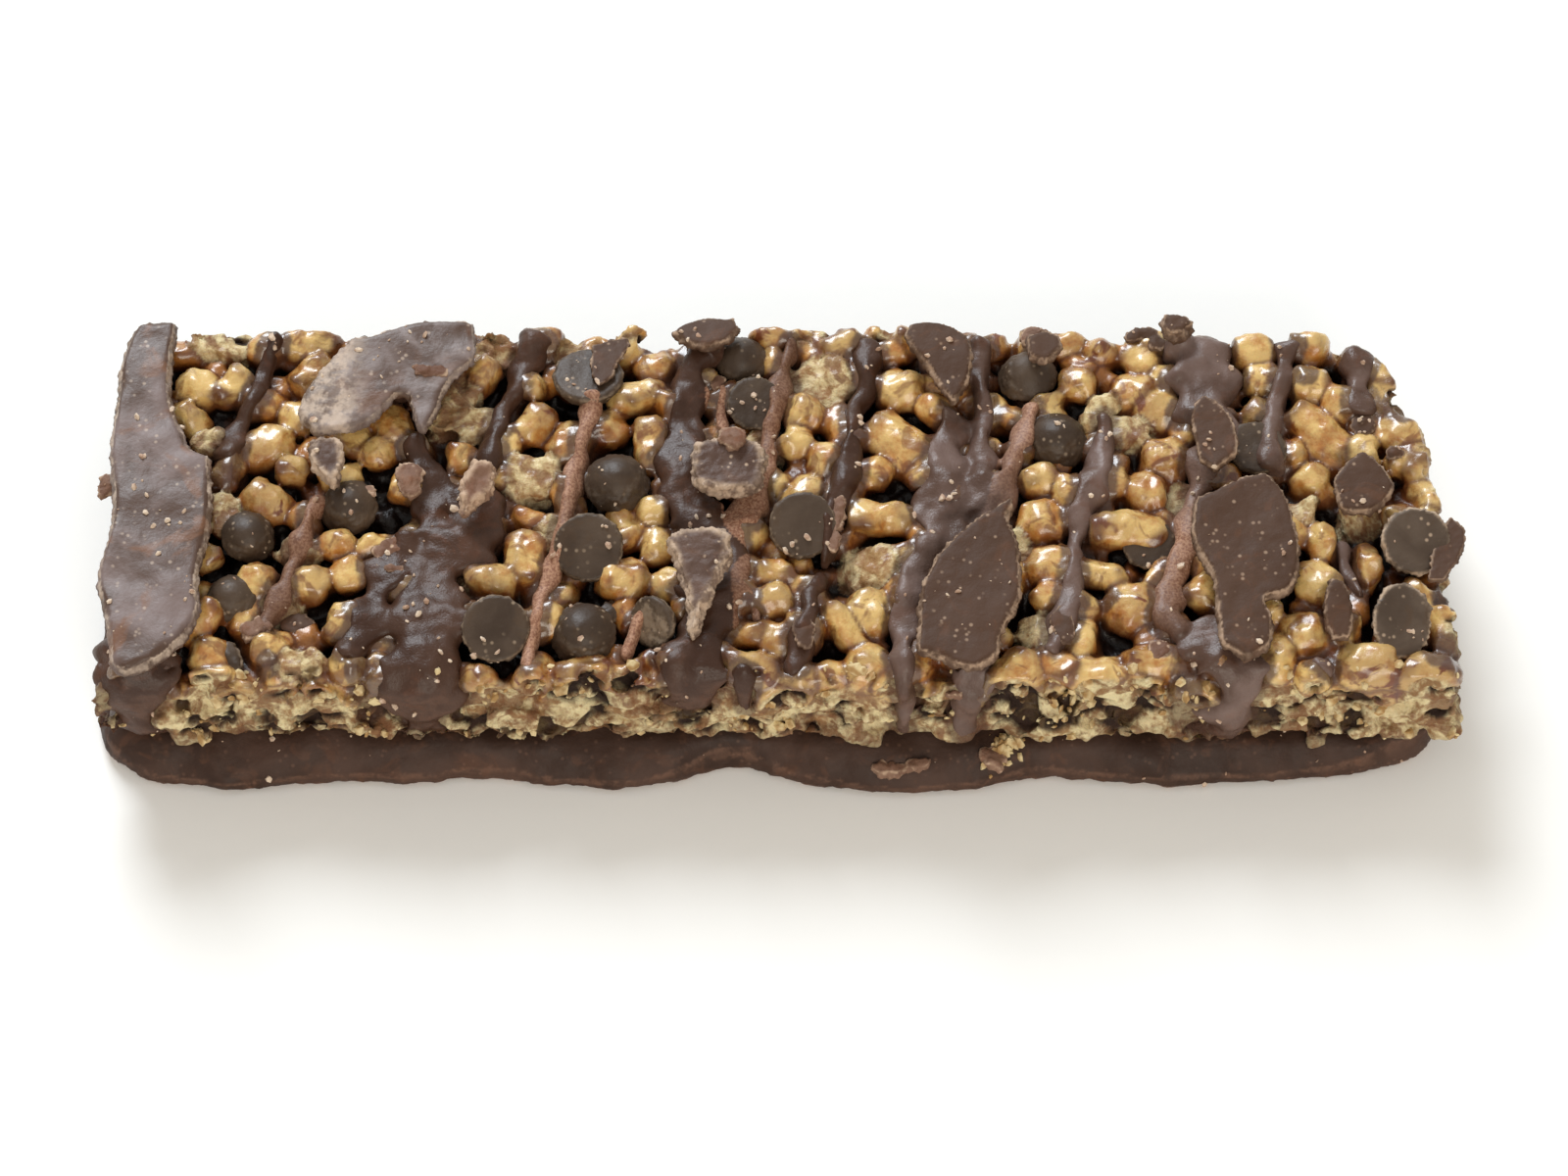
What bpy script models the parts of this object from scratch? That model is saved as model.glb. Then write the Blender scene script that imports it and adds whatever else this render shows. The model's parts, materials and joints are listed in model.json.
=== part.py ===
"""Crisp protein bar: caramel-glazed crisps on a chocolate base, with chips, drizzle and flat chocolate patches.

X runs along the bar, Y across it with the front cut face at -Y, and Z up from the surface that it lies on.
Sizes are in millimetres and are turned into metres by MM where a mesh is made.
"""

import math
from collections import namedtuple

import bmesh
import bpy
import numpy as np
from mathutils import Euler, Matrix, Vector

MM = 0.001

# The bar as a whole.
HALF_LENGTH = 55.0
HALF_WIDTH = 17.2
BASE_TOP = 4.0
CRISP_TOP = 13.0
GAP = 0.3

# The slab of crisps, seen from above: the knife's line, which is broken away at the back right corner.
KNIFE_LINE = (
    (-54.6, -17.2), (0.0, -17.3), (55.7, -17.2), (56.0, -11.0), (55.2, 0.0),
    (54.0, 7.2), (51.6, 13.2), (48.6, 17.0), (0.0, 17.3), (-53.8, 17.0), (-54.8, 0.0),
)
CORE_INSET = 1.0
CORE_TOP = 11.0
SLAB_BOTTOM = BASE_TOP + GAP

# The base coat's foot: how far it has run out past the knife's line, at points along the front and the back.
FOOT_POINTS = 78
FOOT_SMOOTHING = 1
# Height of each ring of the foot, and the share of its reach that is left at that height.
FOOT_RINGS = ((0.0, 0.75), (0.5, 1.0), (1.6, 0.9), (2.9, 0.5), (BASE_TOP, 0.0))
FRONT_RUN = (
    (-56, 2.8), (-45, 4.0), (-36, 3.0), (-28, 3.4), (-23.5, 2.2), (-17, 3.9), (-11, 3.7), (-4, 1.3),
    (3, 3.3), (9.5, 4.5), (17, 3.9), (22, 2.3), (28, 3.4), (38, 3.2), (46, 2.8), (52, 1.4), (56, 0.2),
)
BACK_RUN = ((-56, 1.8), (-38, 3.2), (-27, 1.7), (-9, 3.6), (6, 1.9), (20, 3.4), (33, 2.0), (56, 1.4))
LEFT_RUN = 1.9
RIGHT_RUN = -0.5

# The crisps: half lengths and half widths, and how closely they are packed.
CRISP_SEED = 11
CRISP_LONG = (1.9, 3.1)
CRISP_WIDE = (1.75, 2.25)
CRISP_DROP = 0.8
CRISP_PITCH = 14
CRISP_BULGE = (0.95, 1.15)
CRISP_TRIES = 9000
CRISP_PACKING = 1.03
CRISP_SIDES = 5
EDGE_CLEARANCE = 0.55
CRISP_LIFT = 0.35
# The largest crisps that the photograph shows: centre, half length, half width and turn in degrees.
SEEN_CRISPS = (
    (-46.8, 15.4, 2.9, 1.8, -10), (-39.4, 15.2, 2.6, 1.8, 10), (-42.6, 6.1, 2.5, 2.0, 35),
    (-42.4, 0.5, 2.3, 1.9, -30), (-20.3, 3.2, 2.5, 2.2, 0), (-20.7, -5.3, 2.6, 1.8, 90),
    (-17.1, 7.4, 2.3, 1.8, 60), (-10.4, 6.1, 2.7, 1.7, 90), (3.9, 12.5, 2.8, 2.4, 20),
    (10.4, 6.3, 3.4, 2.1, -42), (8.9, -1.2, 3.1, 1.7, 0), (7.9, -6.2, 2.6, 2.0, 0), (7.8, -11.0, 2.3, 2.1, 90),
    (19.4, -16.0, 2.6, 2.0, 40), (23.1, -5.8, 2.5, 2.0, 0), (29.2, -2.4, 3.3, 1.7, 0), (29.5, -9.7, 2.5, 2.4, 0),
    (26.5, -15.9, 2.6, 2.0, 0), (32.7, 4.4, 2.2, 2.0, 60), (31.2, 10.6, 2.5, 2.0, -20), (45.9, 7.0, 3.6, 1.8, -48),
    (48.6, -15.2, 2.7, 2.0, 0), (52.5, 6.9, 2.5, 1.9, -20), (31.6, -15.2, 3.0, 1.8, 15),
)
SEEN_DROP = 0.3
# A crisp is left out where it lies this far inside a patch, or under a run of drizzle of this half width.
HIDDEN_INSET = 0.8
BROAD_STRAND = 1.7
BROAD_SHARE = 0.7
CLEAR_OF_CHIP = 0.35
# Rows of crisps round the cut sides: height, spacing along the knife's line, and shift of the row.
SIDE_ROWS = ((6.7, 7.4, 0.0), (10.2, 6.8, 0.5))
SIDE_LONG = (2.3, 3.2)
SIDE_WIDE = (1.7, 2.0)
SIDE_INSET = (0.9, 1.5)
SIDE_JITTER = 0.5
SIDE_TURN = 0.3
# How far out of the knife's line (negative) or into it a cut crisp's face stands, so no two faces meet.
CUT_OFFSET = (-0.35, 0.3)
# The front face leans out towards its foot: it stands on the knife's line at this height, and this far out below.
LEAN_TOP = 11.5
FRONT_LEAN = 1.4

Chip = namedtuple("Chip", "name x y z radius stretch lean roll dome")
Patch = namedtuple("Patch", "name z thickness lean roll outline")
Strand = namedtuple("Strand", "name drip points")

# Chocolate chips: most lie with the flat side up, and a dome lies with the point up.
CHIPS = (
    Chip("chip_01", -15.4, -5.2, 13.4, 3.1, 1.0, 24, -4, False),
    Chip("chip_02", -22.8, -12.9, 13.2, 3.0, 1.0, 22, 3, False),
    Chip("chip_03", -15.7, 12.0, 13.5, 3.2, 1.0, -8, 0, False),
    Chip("chip_04", -13.2, 1.9, 11.6, 3.0, 1.0, 8, 6, True),
    Chip("chip_05", -15.6, -12.4, 11.0, 3.0, 1.0, 18, -12, True),
    Chip("chip_06", 2.3, -3.0, 13.4, 3.0, 1.0, 22, 2, False),
    Chip("chip_07", -1.6, 9.7, 12.6, 2.6, 1.0, 12, 6, False),
    Chip("chip_08", -2.8, 14.6, 11.2, 2.5, 1.0, 0, 0, True),
    Chip("chip_09", 23.6, 6.6, 11.0, 2.8, 1.0, 12, 4, True),
    Chip("chip_10", 21.4, 13.0, 10.9, 2.8, 1.0, -6, -8, True),
    Chip("chip_11", 40.3, 5.2, 12.7, 2.7, 1.0, 4, 6, False),
    Chip("chip_12", 52.9, -4.6, 13.4, 3.1, 1.0, 22, 6, False),
    Chip("chip_13", 51.3, -12.2, 13.1, 2.6, 1.3, 22, 4, False),
    Chip("chip_14", -35.4, 0.2, 10.7, 2.7, 1.0, 12, -8, True),
    Chip("chip_15", -43.8, -3.0, 11.2, 2.5, 1.0, 14, 20, True),
    Chip("chip_16", -44.6, -9.0, 11.0, 2.4, 1.0, 10, 0, True),
    Chip("chip_17", 31.0, -3.8, 11.8, 2.4, 1.0, 14, 0, False),
    Chip("chip_18", -10.2, -12.0, 12.4, 2.4, 1.0, 34, -48, False),
)
# Radius and height of a chip's turned outline, as shares of its radius: flat side, rim, shoulder and tip.
CHIP_PROFILE = ((0.92, 0.0), (1.0, -0.15), (0.62, -0.72))
CHIP_TIP = -1.02
CHIP_SIDES = 12
SEAT_SIDES = 8

# Flat patches and lumps of set chocolate: the outline's points are joined by a smooth closed curve.
PATCHES = (
    Patch("end_coat", 13.4, 1.7, 0, 0, (
        (-54.4, 15.4), (-53.6, 16.5), (-50.3, 16.6), (-50.5, 13.0), (-50.6, 8.8), (-49.4, 6.0), (-48.6, 3.8),
        (-46.8, 3.0), (-46.5, 0.0), (-46.1, -4.0), (-47.1, -7.4), (-47.1, -10.0), (-46.6, -12.6), (-48.2, -15.4),
        (-50.4, -17.5), (-52.6, -18.1), (-54.0, -17.2), (-54.3, -13.4), (-55.5, -10.4), (-55.6, -7.6),
        (-54.5, -3.4), (-55.0, 0.6), (-55.6, 4.0), (-55.0, 8.4), (-55.2, 11.8))),
    Patch("patch_back_left", 13.6, 1.2, 2, 0, (
        (-40.0, 7.4), (-39.6, 9.8), (-37.2, 13.2), (-35.6, 15.0), (-33.8, 15.1), (-31.6, 16.4), (-28.6, 16.8),
        (-25.4, 16.6), (-25.0, 14.0), (-25.3, 12.4), (-26.8, 11.3), (-27.8, 9.4), (-28.0, 7.4), (-29.3, 5.5),
        (-30.2, 6.2), (-30.6, 9.2), (-31.6, 9.2), (-33.0, 7.2), (-34.6, 5.8), (-38.5, 5.4))),
    Patch("patch_back_middle", 13.8, 1.1, -8, 0, (
        (-8.7, 15.3), (-8.0, 16.4), (-5.6, 17.0), (-3.5, 16.9), (-2.9, 15.7), (-3.5, 14.4), (-5.2, 13.4),
        (-7.4, 13.8))),
    Patch("patch_teardrop", 13.8, 1.1, 2, 0, (
        (10.8, 15.2), (11.4, 16.4), (13.2, 16.8), (15.4, 16.1), (16.6, 14.8), (16.8, 12.4), (16.2, 10.2),
        (15.1, 8.4), (14.4, 8.7), (12.8, 12.0), (11.4, 13.6))),
    Patch("patch_disc", 14.1, 1.0, 0, 0, (
        (21.0, 14.8), (22.6, 15.6), (24.0, 15.0), (24.2, 13.6), (22.8, 12.1), (21.3, 12.7))),
    Patch("patch_leaf", 14.0, 1.0, 6, -6, (
        (34.6, 6.4), (34.8, 7.8), (35.9, 9.1), (37.6, 7.8), (38.7, 5.8), (38.5, 3.2), (36.6, 1.7), (35.2, 2.7))),
    Patch("patch_right", 13.7, 1.3, 3, 0, (
        (34.0, -4.8), (34.5, -1.4), (36.6, -0.2), (38.6, 0.8), (40.6, 1.2), (42.4, -0.6), (42.9, -3.8),
        (43.3, -6.8), (42.7, -9.6), (41.6, -10.6), (40.0, -10.8), (40.8, -13.0), (40.4, -15.2), (38.4, -16.6),
        (36.2, -15.2), (35.9, -12.0), (35.9, -8.8), (34.6, -6.4))),
    Patch("patch_far_right", 13.7, 1.1, 4, 0, (
        (46.0, 0.6), (47.4, 2.8), (48.9, 3.6), (50.6, 2.1), (51.4, 0.2), (50.5, -1.8), (48.6, -2.6),
        (46.6, -2.2))),
    Patch("patch_small", 13.2, 1.0, 10, 0, (
        (45.5, -8.5), (46.9, -9.2), (47.5, -11.6), (46.9, -14.0), (45.3, -14.0), (44.4, -11.4))),
    Patch("patch_centre", 13.9, 1.3, 3, 0, (
        (18.6, -1.8), (19.6, -1.2), (19.8, -2.2), (19.2, -3.4), (20.3, -6.2), (20.1, -7.4), (20.4, -9.6),
        (19.9, -12.0), (18.4, -14.2), (18.3, -16.2), (16.4, -17.7), (14.6, -17.4), (13.2, -16.4), (11.4, -16.0),
        (11.6, -13.6), (11.6, -9.8), (13.6, -6.0), (16.2, -3.6))),
    Patch("lump_left", 13.4, 1.4, 4, 0, (
        (-38.6, 5.0), (-36.0, 5.0), (-35.4, 2.4), (-36.4, 0.2), (-37.4, 0.8), (-38.9, 2.6))),
    Patch("lump_front", 13.7, 1.7, 10, -6, (
        (-9.0, -5.2), (-7.8, -4.4), (-6.2, -4.1), (-4.5, -4.3), (-3.3, -5.2), (-3.2, -6.8), (-3.8, -8.6),
        (-5.2, -10.8), (-5.8, -12.6), (-6.4, -14.0), (-7.0, -14.1), (-7.2, -12.0), (-7.4, -10.0), (-8.2, -7.4))),
    Patch("lump_middle", 13.5, 1.6, 6, 0, (
        (-6.9, 4.2), (-4.6, 5.1), (-1.2, 4.6), (-0.4, 2.2), (-1.4, -0.4), (-3.4, -0.6), (-5.2, -0.6),
        (-7.1, 0.7))),
    Patch("lump_back_right", 13.8, 1.7, -6, 0, (
        (32.2, 15.6), (32.7, 16.9), (34.4, 17.0), (35.6, 16.0), (34.6, 14.6), (33.0, 14.4))),
    Patch("lump_ridge", 13.9, 1.3, 6, 12, (
        (-26.3, 0.6), (-25.3, 2.6), (-23.2, 2.2), (-23.2, -0.2), (-24.8, -1.8), (-25.8, -3.2), (-26.4, -1.6))),
)
PATCH_STEPS = 1
PATCH_EDGE = 0.3
PATCH_GAP = 0.45

# Drizzle: points along each run as (x, y, half width), and how far it has dripped down the front cut face.
STRANDS = (
    Strand("left", 0, ((-42.0, 16.4, 0.9), (-43.4, 11.6, 0.8), (-45.0, 7.4, 1.1), (-45.4, 4.8, 1.3))),
    Strand("left_low", 0, ((-37.8, 0.6, 0.8), (-39.2, -3.6, 0.8), (-40.6, -8.2, 0.9), (-42.2, -13.2, 0.7))),
    Strand("ridge_back", 0, ((-19.6, 15.2, 1.3), (-22.4, 11.0, 0.9), (-23.6, 6.4, 0.9), (-24.8, 2.0, 1.0))),
    Strand("ridge", 9, ((-24.4, 1.0, 2.2), (-26.4, -4.4, 3.2), (-28.4, -9.4, 3.4), (-28.4, -16.6, 2.2))),
    Strand("ridge_leg", 0, ((-29.6, -8.4, 1.6), (-32.8, -12.2, 1.2), (-34.4, -15.6, 0.8))),
    Strand("thin", 0, (
        (-15.2, 10.6, 0.6), (-15.8, 6.4, 0.8), (-17.2, 1.0, 0.8), (-18.2, -5.0, 0.9), (-19.6, -12.0, 0.8),
        (-20.4, -17.4, 0.6))),
    Strand("middle_back", 0, ((-7.2, 14.0, 2.2), (-7.4, 8.0, 2.3), (-7.4, 2.0, 2.1), (-6.4, -1.6, 2.0))),
    Strand("middle", 6, ((-6.0, -1.6, 1.8), (-2.8, -5.2, 2.0), (-3.4, -10.4, 2.2), (-5.8, -16.8, 2.8))),
    Strand("branch", 0, ((2.0, 16.6, 1.0), (1.0, 12.0, 0.9), (-0.4, 6.2, 1.0), (-1.4, 0.6, 1.4))),
    Strand("centre_left", 0, (
        (8.2, 16.4, 1.1), (7.4, 9.4, 0.9), (6.0, 2.4, 0.9), (5.0, -3.4, 0.9), (3.4, -9.0, 0.6),
        (2.2, -15.6, 0.8))),
    Strand("fork", 9, (
        (14.9, 9.0, 1.8), (14.0, 3.6, 2.2), (13.4, -2.0, 2.4), (11.8, -8.6, 1.5), (9.9, -16.8, 1.3))),
    Strand("fork_back", 0, ((17.5, 15.8, 1.2), (17.5, 9.0, 1.1), (17.3, 3.0, 1.1), (15.4, -1.4, 1.6))),
    Strand("fork_arm", 0, ((22.4, 12.4, 0.6), (21.0, 7.4, 0.9), (19.4, 2.0, 1.0), (16.6, -3.0, 1.5))),
    Strand("right_thin", 0, (
        (27.3, 8.6, 1.0), (26.8, 1.6, 0.9), (25.4, -5.0, 0.9), (24.2, -11.8, 0.9), (22.9, -16.8, 0.7))),
    Strand("blob", 0, ((33.4, 15.2, 2.4), (35.0, 12.2, 3.2), (36.0, 9.2, 2.4))),
    Strand("right", 0, ((36.0, 3.4, 1.2), (34.4, -0.8, 1.0), (33.4, -6.4, 0.9), (33.4, -12.4, 1.6))),
    Strand("right_foot", 8, ((33.8, -11.6, 1.6), (36.4, -14.4, 2.2), (38.0, -16.8, 2.4))),
    Strand("far", 0, ((42.6, 16.6, 1.1), (42.2, 11.0, 0.8), (41.6, 4.4, 1.2))),
    Strand("corner", 0, ((48.7, 15.2, 1.0), (49.1, 11.0, 1.1), (49.1, 7.2, 1.3))),
    Strand("foot", 0, ((45.7, -12.6, 0.9), (44.9, -16.6, 1.0))),
    Strand("left_drip", 8, ((-51.4, -13.8, 2.2), (-51.6, -16.6, 2.6))),
)
STRAND_SIDES = 5
STRAND_HEIGHT = (0.7, 1.15)
STRAND_LEVEL = 13.0
STRAND_TIP = 0.8
# A drip down the cut face, at its bend, halfway and at its end: shift to the right, how far it stands out
# of the face, share of the drop, and share of the run's half width.
DRIP_SHAPE = ((0.3, 0.5, 0.2, 0.9), (0.5, 0.35, 0.55, 0.75), (0.4, 0.15, 1.0, 0.5))
DRIP_END = BASE_TOP + 1.3


def new_material(name, colour, roughness):
    """A Principled material of one colour."""
    material = bpy.data.materials.new(name)
    material.use_nodes = True
    shader = material.node_tree.nodes["Principled BSDF"]
    shader.inputs["Base Color"].default_value = (*colour, 1.0)
    shader.inputs["Roughness"].default_value = roughness
    return material


def new_object(name, points, faces, material=None, collection=None):
    """A mesh object from points in millimetres, with its faces turned outwards."""
    shape = bmesh.new()
    corners = [shape.verts.new(Vector(point) * MM) for point in points]
    for face in faces:
        shape.faces.new([corners[index] for index in face])
    bmesh.ops.recalc_face_normals(shape, faces=shape.faces)
    mesh = bpy.data.meshes.new(name)
    shape.to_mesh(mesh)
    shape.free()
    piece = bpy.data.objects.new(name, mesh)
    (collection or bpy.context.scene.collection).objects.link(piece)
    if material:
        mesh.materials.append(material)
    return piece


def rings_to_shell(rings, start=None, end=None):
    """Points and faces of a closed shell through rings of equal size, closed by a point or by a flat cap."""
    sides = len(rings[0])
    points = [point for ring in rings for point in ring]
    faces = []
    for row in range(len(rings) - 1):
        for side in range(sides):
            after = (side + 1) % sides
            low, high = row * sides, (row + 1) * sides
            faces.append((low + side, low + after, high + after, high + side))
    for tip, row in ((start, 0), (end, len(rings) - 1)):
        if tip is None:
            faces.append(tuple(range(row * sides, (row + 1) * sides)))
            continue
        points.append(tip)
        for side in range(sides):
            faces.append((row * sides + side, row * sides + (side + 1) % sides, len(points) - 1))
    return points, faces


def closed_curve(outline, steps):
    """A smooth closed curve through the outline's points, with some steps between each two (Catmull-Rom)."""
    corners = [np.array(point, float) for point in outline]
    count = len(corners)
    curve = []
    for index in range(count):
        before, here, after, beyond = (corners[(index + shift) % count] for shift in (-1, 0, 1, 2))
        for step in range(steps):
            t = step / steps
            curve.append(0.5 * (
                2 * here + (after - before) * t + (2 * before - 5 * here + 4 * after - beyond) * t**2
                + (3 * here - before - 3 * after + beyond) * t**3))
    return curve


def inward(outline, amount):
    """The outline moved inwards by an amount, along each point's own normal. It runs anticlockwise."""
    corners = [np.array(point, float) for point in outline]
    moved = []
    for index, corner in enumerate(corners):
        along = corners[(index + 1) % len(corners)] - corners[index - 1]
        normal = np.array((-along[1], along[0])) / np.linalg.norm(along)
        moved.append(corner + normal * amount)
    return moved


def knife_depth(x, y):
    """How far a point lies inside the knife's line (negative outside), and the line's outward normal there."""
    best = (1e9, None)
    for index, start in enumerate(KNIFE_LINE):
        end = KNIFE_LINE[(index + 1) % len(KNIFE_LINE)]
        along = np.array(end) - np.array(start)
        normal = np.array((along[1], -along[0])) / np.linalg.norm(along)
        depth = -float(np.dot(np.array((x, y)) - np.array(start), normal))
        if depth < best[0]:
            best = (depth, normal)
    return best


def front_lean(z, normal):
    """How far the front face stands out of the knife's line at a height. The other sides don't lean."""
    share = min(1.0, max(0.0, (LEAN_TOP - z) / (LEAN_TOP - SLAB_BOTTOM)))
    return FRONT_LEAN * share * max(0.0, -float(normal[1]))


def run_out(x, runs):
    """The foot's reach past the knife's line at x, smooth between the measured points."""
    for (x0, low), (x1, high) in zip(runs, runs[1:]):
        if x <= x1:
            share = min(1.0, max(0.0, (x - x0) / (x1 - x0)))
            return low + (high - low) * (0.5 - 0.5 * math.cos(math.pi * share))
    return runs[-1][1]


def foot_lines():
    """The knife's line in even steps with softened corners, and the same line pushed out by the foot's reach."""
    corners = [np.array(point, float) for point in KNIFE_LINE]
    corners.append(corners[0])
    travelled = np.concatenate([[0], np.cumsum([math.dist(a, b) for a, b in zip(corners, corners[1:])])])
    steps = np.arange(FOOT_POINTS) / FOOT_POINTS * travelled[-1]
    line = np.stack([np.interp(steps, travelled, [corner[axis] for corner in corners]) for axis in (0, 1)], axis=1)
    for _ in range(FOOT_SMOOTHING):
        line = (np.roll(line, 1, axis=0) + 2 * line + np.roll(line, -1, axis=0)) / 4
    foot = []
    for index, point in enumerate(line):
        along = line[(index + 1) % FOOT_POINTS] - line[index - 1]
        normal = np.array((along[1], -along[0])) / np.linalg.norm(along)
        side = run_out(point[0], FRONT_RUN if point[1] < 0 else BACK_RUN)
        end = RIGHT_RUN if point[0] > 0 else LEFT_RUN
        reach = end + (side - end) * abs(normal[1])
        foot.append(point + normal * reach)
    return line, foot


def make_base(material):
    """The chocolate coat under the bar, with its foot run out in lobes on the surface below."""
    line, foot = foot_lines()
    rings = [[(*(near + (far - near) * share), z) for near, far in zip(line, foot)] for z, share in FOOT_RINGS]
    base = new_object("chocolate_base", *rings_to_shell(rings), material)
    base.data.shade_smooth()
    base.data.set_sharp_from_angle(angle=math.radians(40))
    return base


def chip_matrix(chip):
    """A chip's place: leaning towards the front and rolling to the right, point down unless it is a dome."""
    turned = Euler((math.radians(chip.lean), math.radians(chip.roll), 0.0)).to_matrix().to_4x4()
    flip = Matrix.Rotation(math.pi, 4, "X") if chip.dome else Matrix.Identity(4)
    return Matrix.Translation(Vector((chip.x, chip.y, chip.z)) * MM) @ turned @ flip


def make_chip(chip, material, grow=0.0, collection=None):
    """A turned chocolate chip, or with grow the simpler cutter that leaves its seat."""
    sides = SEAT_SIDES if grow else CHIP_SIDES
    fit = 1 / math.cos(math.pi / sides) if grow else 1.0
    rings = []
    for share, height in CHIP_PROFILE:
        radius = (chip.radius * share + grow) * fit
        level = chip.radius * height + (grow if height == 0 else 0)
        rings.append([
            (radius * math.cos(angle), radius * chip.stretch * math.sin(angle), level)
            for angle in (math.tau * side / sides for side in range(sides))])
    tip = (0, 0, chip.radius * CHIP_TIP - grow)
    name = chip.name + ("_seat" if grow else "")
    piece = new_object(name, *rings_to_shell(rings, end=tip), material, collection)
    piece.matrix_world = chip_matrix(chip)
    if not grow:
        piece.data.shade_smooth()
        piece.data.set_sharp_from_angle(angle=math.radians(45))
    return piece


def patch_curve(patch):
    """A patch's smooth outline seen from above, anticlockwise."""
    curve = closed_curve(patch.outline, PATCH_STEPS)
    if sum(a[0] * b[1] - a[1] * b[0] for a, b in zip(curve, curve[1:] + curve[:1])) < 0:
        curve.reverse()
    return curve


def make_patch(patch, material, grow=0.0, collection=None):
    """A flat patch of chocolate with a softened edge, or with grow the cutter that leaves its seat."""
    curve = patch_curve(patch)
    middle = np.mean(curve, axis=0)
    curve = [point - middle for point in curve]
    edge = patch.thickness * PATCH_EDGE
    if grow:
        levels = ((-grow, -grow), (patch.thickness + grow, -grow))
    else:
        levels = ((0.0, edge), (edge, 0.0), (patch.thickness, edge))
    rings = [[(*point, level) for point in inward(curve, inset)] for level, inset in levels]
    name = patch.name + ("_seat" if grow else "")
    piece = new_object(name, *rings_to_shell(rings), material, collection)
    turned = Euler((math.radians(patch.lean), math.radians(patch.roll), 0.0)).to_matrix().to_4x4()
    piece.matrix_world = Matrix.Translation(Vector((*middle, patch.z)) * MM) @ turned
    return piece


def inside(point, curve):
    """Whether a point lies inside a closed curve, by counting the edges that a line to its right crosses."""
    x, y = point
    crossed = 0
    for (x0, y0), (x1, y1) in zip(curve, curve[1:] + curve[:1]):
        if (y0 > y) != (y1 > y) and x < x0 + (y - y0) / (y1 - y0) * (x1 - x0):
            crossed += 1
    return crossed % 2 == 1


def broad_discs():
    """Centres and radii of the discs that broad runs of drizzle hide."""
    discs = []
    for strand in STRANDS:
        for (x0, y0, wide0), (x1, y1, wide1) in zip(strand.points, strand.points[1:]):
            for share in (0, 0.25, 0.5, 0.75, 1):
                width = wide0 + (wide1 - wide0) * share
                if width > BROAD_STRAND:
                    discs.append((x0 + (x1 - x0) * share, y0 + (y1 - y0) * share, width * BROAD_SHARE))
    return discs


def crisp_layout():
    """The crisps' places by a seeded rule: (centre, half length, half width, turn, pitch, knife offset or None)."""
    rng = np.random.default_rng(CRISP_SEED)
    covers = [inward(patch_curve(patch), HIDDEN_INSET) for patch in PATCHES]
    discs = broad_discs() + [(chip.x, chip.y, chip.radius) for chip in CHIPS]
    placed = [
        ((x, y, CRISP_TOP - wide - SEEN_DROP), long, wide, math.radians(turn), 0.0, None)
        for x, y, long, wide, turn in SEEN_CRISPS]
    for _ in range(CRISP_TRIES):
        x = rng.uniform(-HALF_LENGTH, HALF_LENGTH + 1)
        y = rng.uniform(-HALF_WIDTH, HALF_WIDTH)
        long, wide = rng.uniform(*CRISP_LONG), rng.uniform(*CRISP_WIDE)
        turn, pitch, drop = rng.uniform(0, math.pi), rng.normal(0, CRISP_PITCH), rng.uniform(0, CRISP_DROP)
        reach = 0.5 * (long + wide)
        if any(
            math.hypot(x - other[0][0], y - other[0][1]) < CRISP_PACKING * (reach + 0.5 * (other[1] + other[2]))
            for other in placed
        ):
            continue
        if any(math.hypot(x - cx, y - cy) < radius + CLEAR_OF_CHIP * reach for cx, cy, radius in discs):
            continue
        if knife_depth(x, y)[0] < EDGE_CLEARANCE * wide or any(inside((x, y), cover) for cover in covers):
            continue
        placed.append(((x, y, CRISP_TOP - wide - drop), long, wide, turn, pitch, None))
    for level, spacing, shift in SIDE_ROWS:
        for index, start in enumerate(KNIFE_LINE):
            end = KNIFE_LINE[(index + 1) % len(KNIFE_LINE)]
            length = math.dist(start, end)
            count = max(1, round(length / spacing))
            for step in range(count):
                share = (step + shift + rng.uniform(0.0, 0.4)) / (count + shift)
                x, y = (a + (b - a) * share for a, b in zip(start, end))
                normal = knife_depth(x, y)[1]
                long, wide, inset = rng.uniform(*SIDE_LONG), rng.uniform(*SIDE_WIDE), rng.uniform(*SIDE_INSET)
                height = level + rng.uniform(-SIDE_JITTER, SIDE_JITTER)
                inset -= front_lean(height, normal)
                centre = (x - normal[0] * inset, y - normal[1] * inset, height)
                turn = math.atan2(normal[0], -normal[1]) + rng.normal(0, SIDE_TURN)
                placed.append((centre, long, wide, turn, rng.normal(0, CRISP_PITCH), rng.uniform(*CUT_OFFSET)))
    return placed


def make_crisps(collection):
    """Every crisp as a barrel of few sides, cut off where it crosses the knife's line."""
    rng = np.random.default_rng(CRISP_SEED + 1)
    for number, (centre, long, wide, turn, pitch, offset) in enumerate(crisp_layout()):
        rings = []
        for along in (-0.5, 0.5):
            rings.append([
                (along * long, wide * bulge * math.cos(angle), wide * bulge * math.sin(angle))
                for angle, bulge in (
                    (math.tau * (side + 0.25) / CRISP_SIDES, rng.uniform(*CRISP_BULGE))
                    for side in range(CRISP_SIDES))])
        points, faces = rings_to_shell(rings, (-long, 0, 0), (long, 0, 0))
        place = Matrix.Translation(centre) @ Euler((0, math.radians(pitch), turn)).to_matrix().to_4x4()
        points = [place @ Vector(point) for point in points]
        for point in points:
            depth, normal = knife_depth(point.x, point.y)
            spare = depth - (offset or 0.0) + front_lean(point.z, normal)
            if spare < 0:
                point.x += normal[0] * spare
                point.y += normal[1] * spare
            point.z = max(point.z, SLAB_BOTTOM + CRISP_LIFT)
        new_object(f"crisp_{number}", points, faces, collection=collection)


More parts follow.
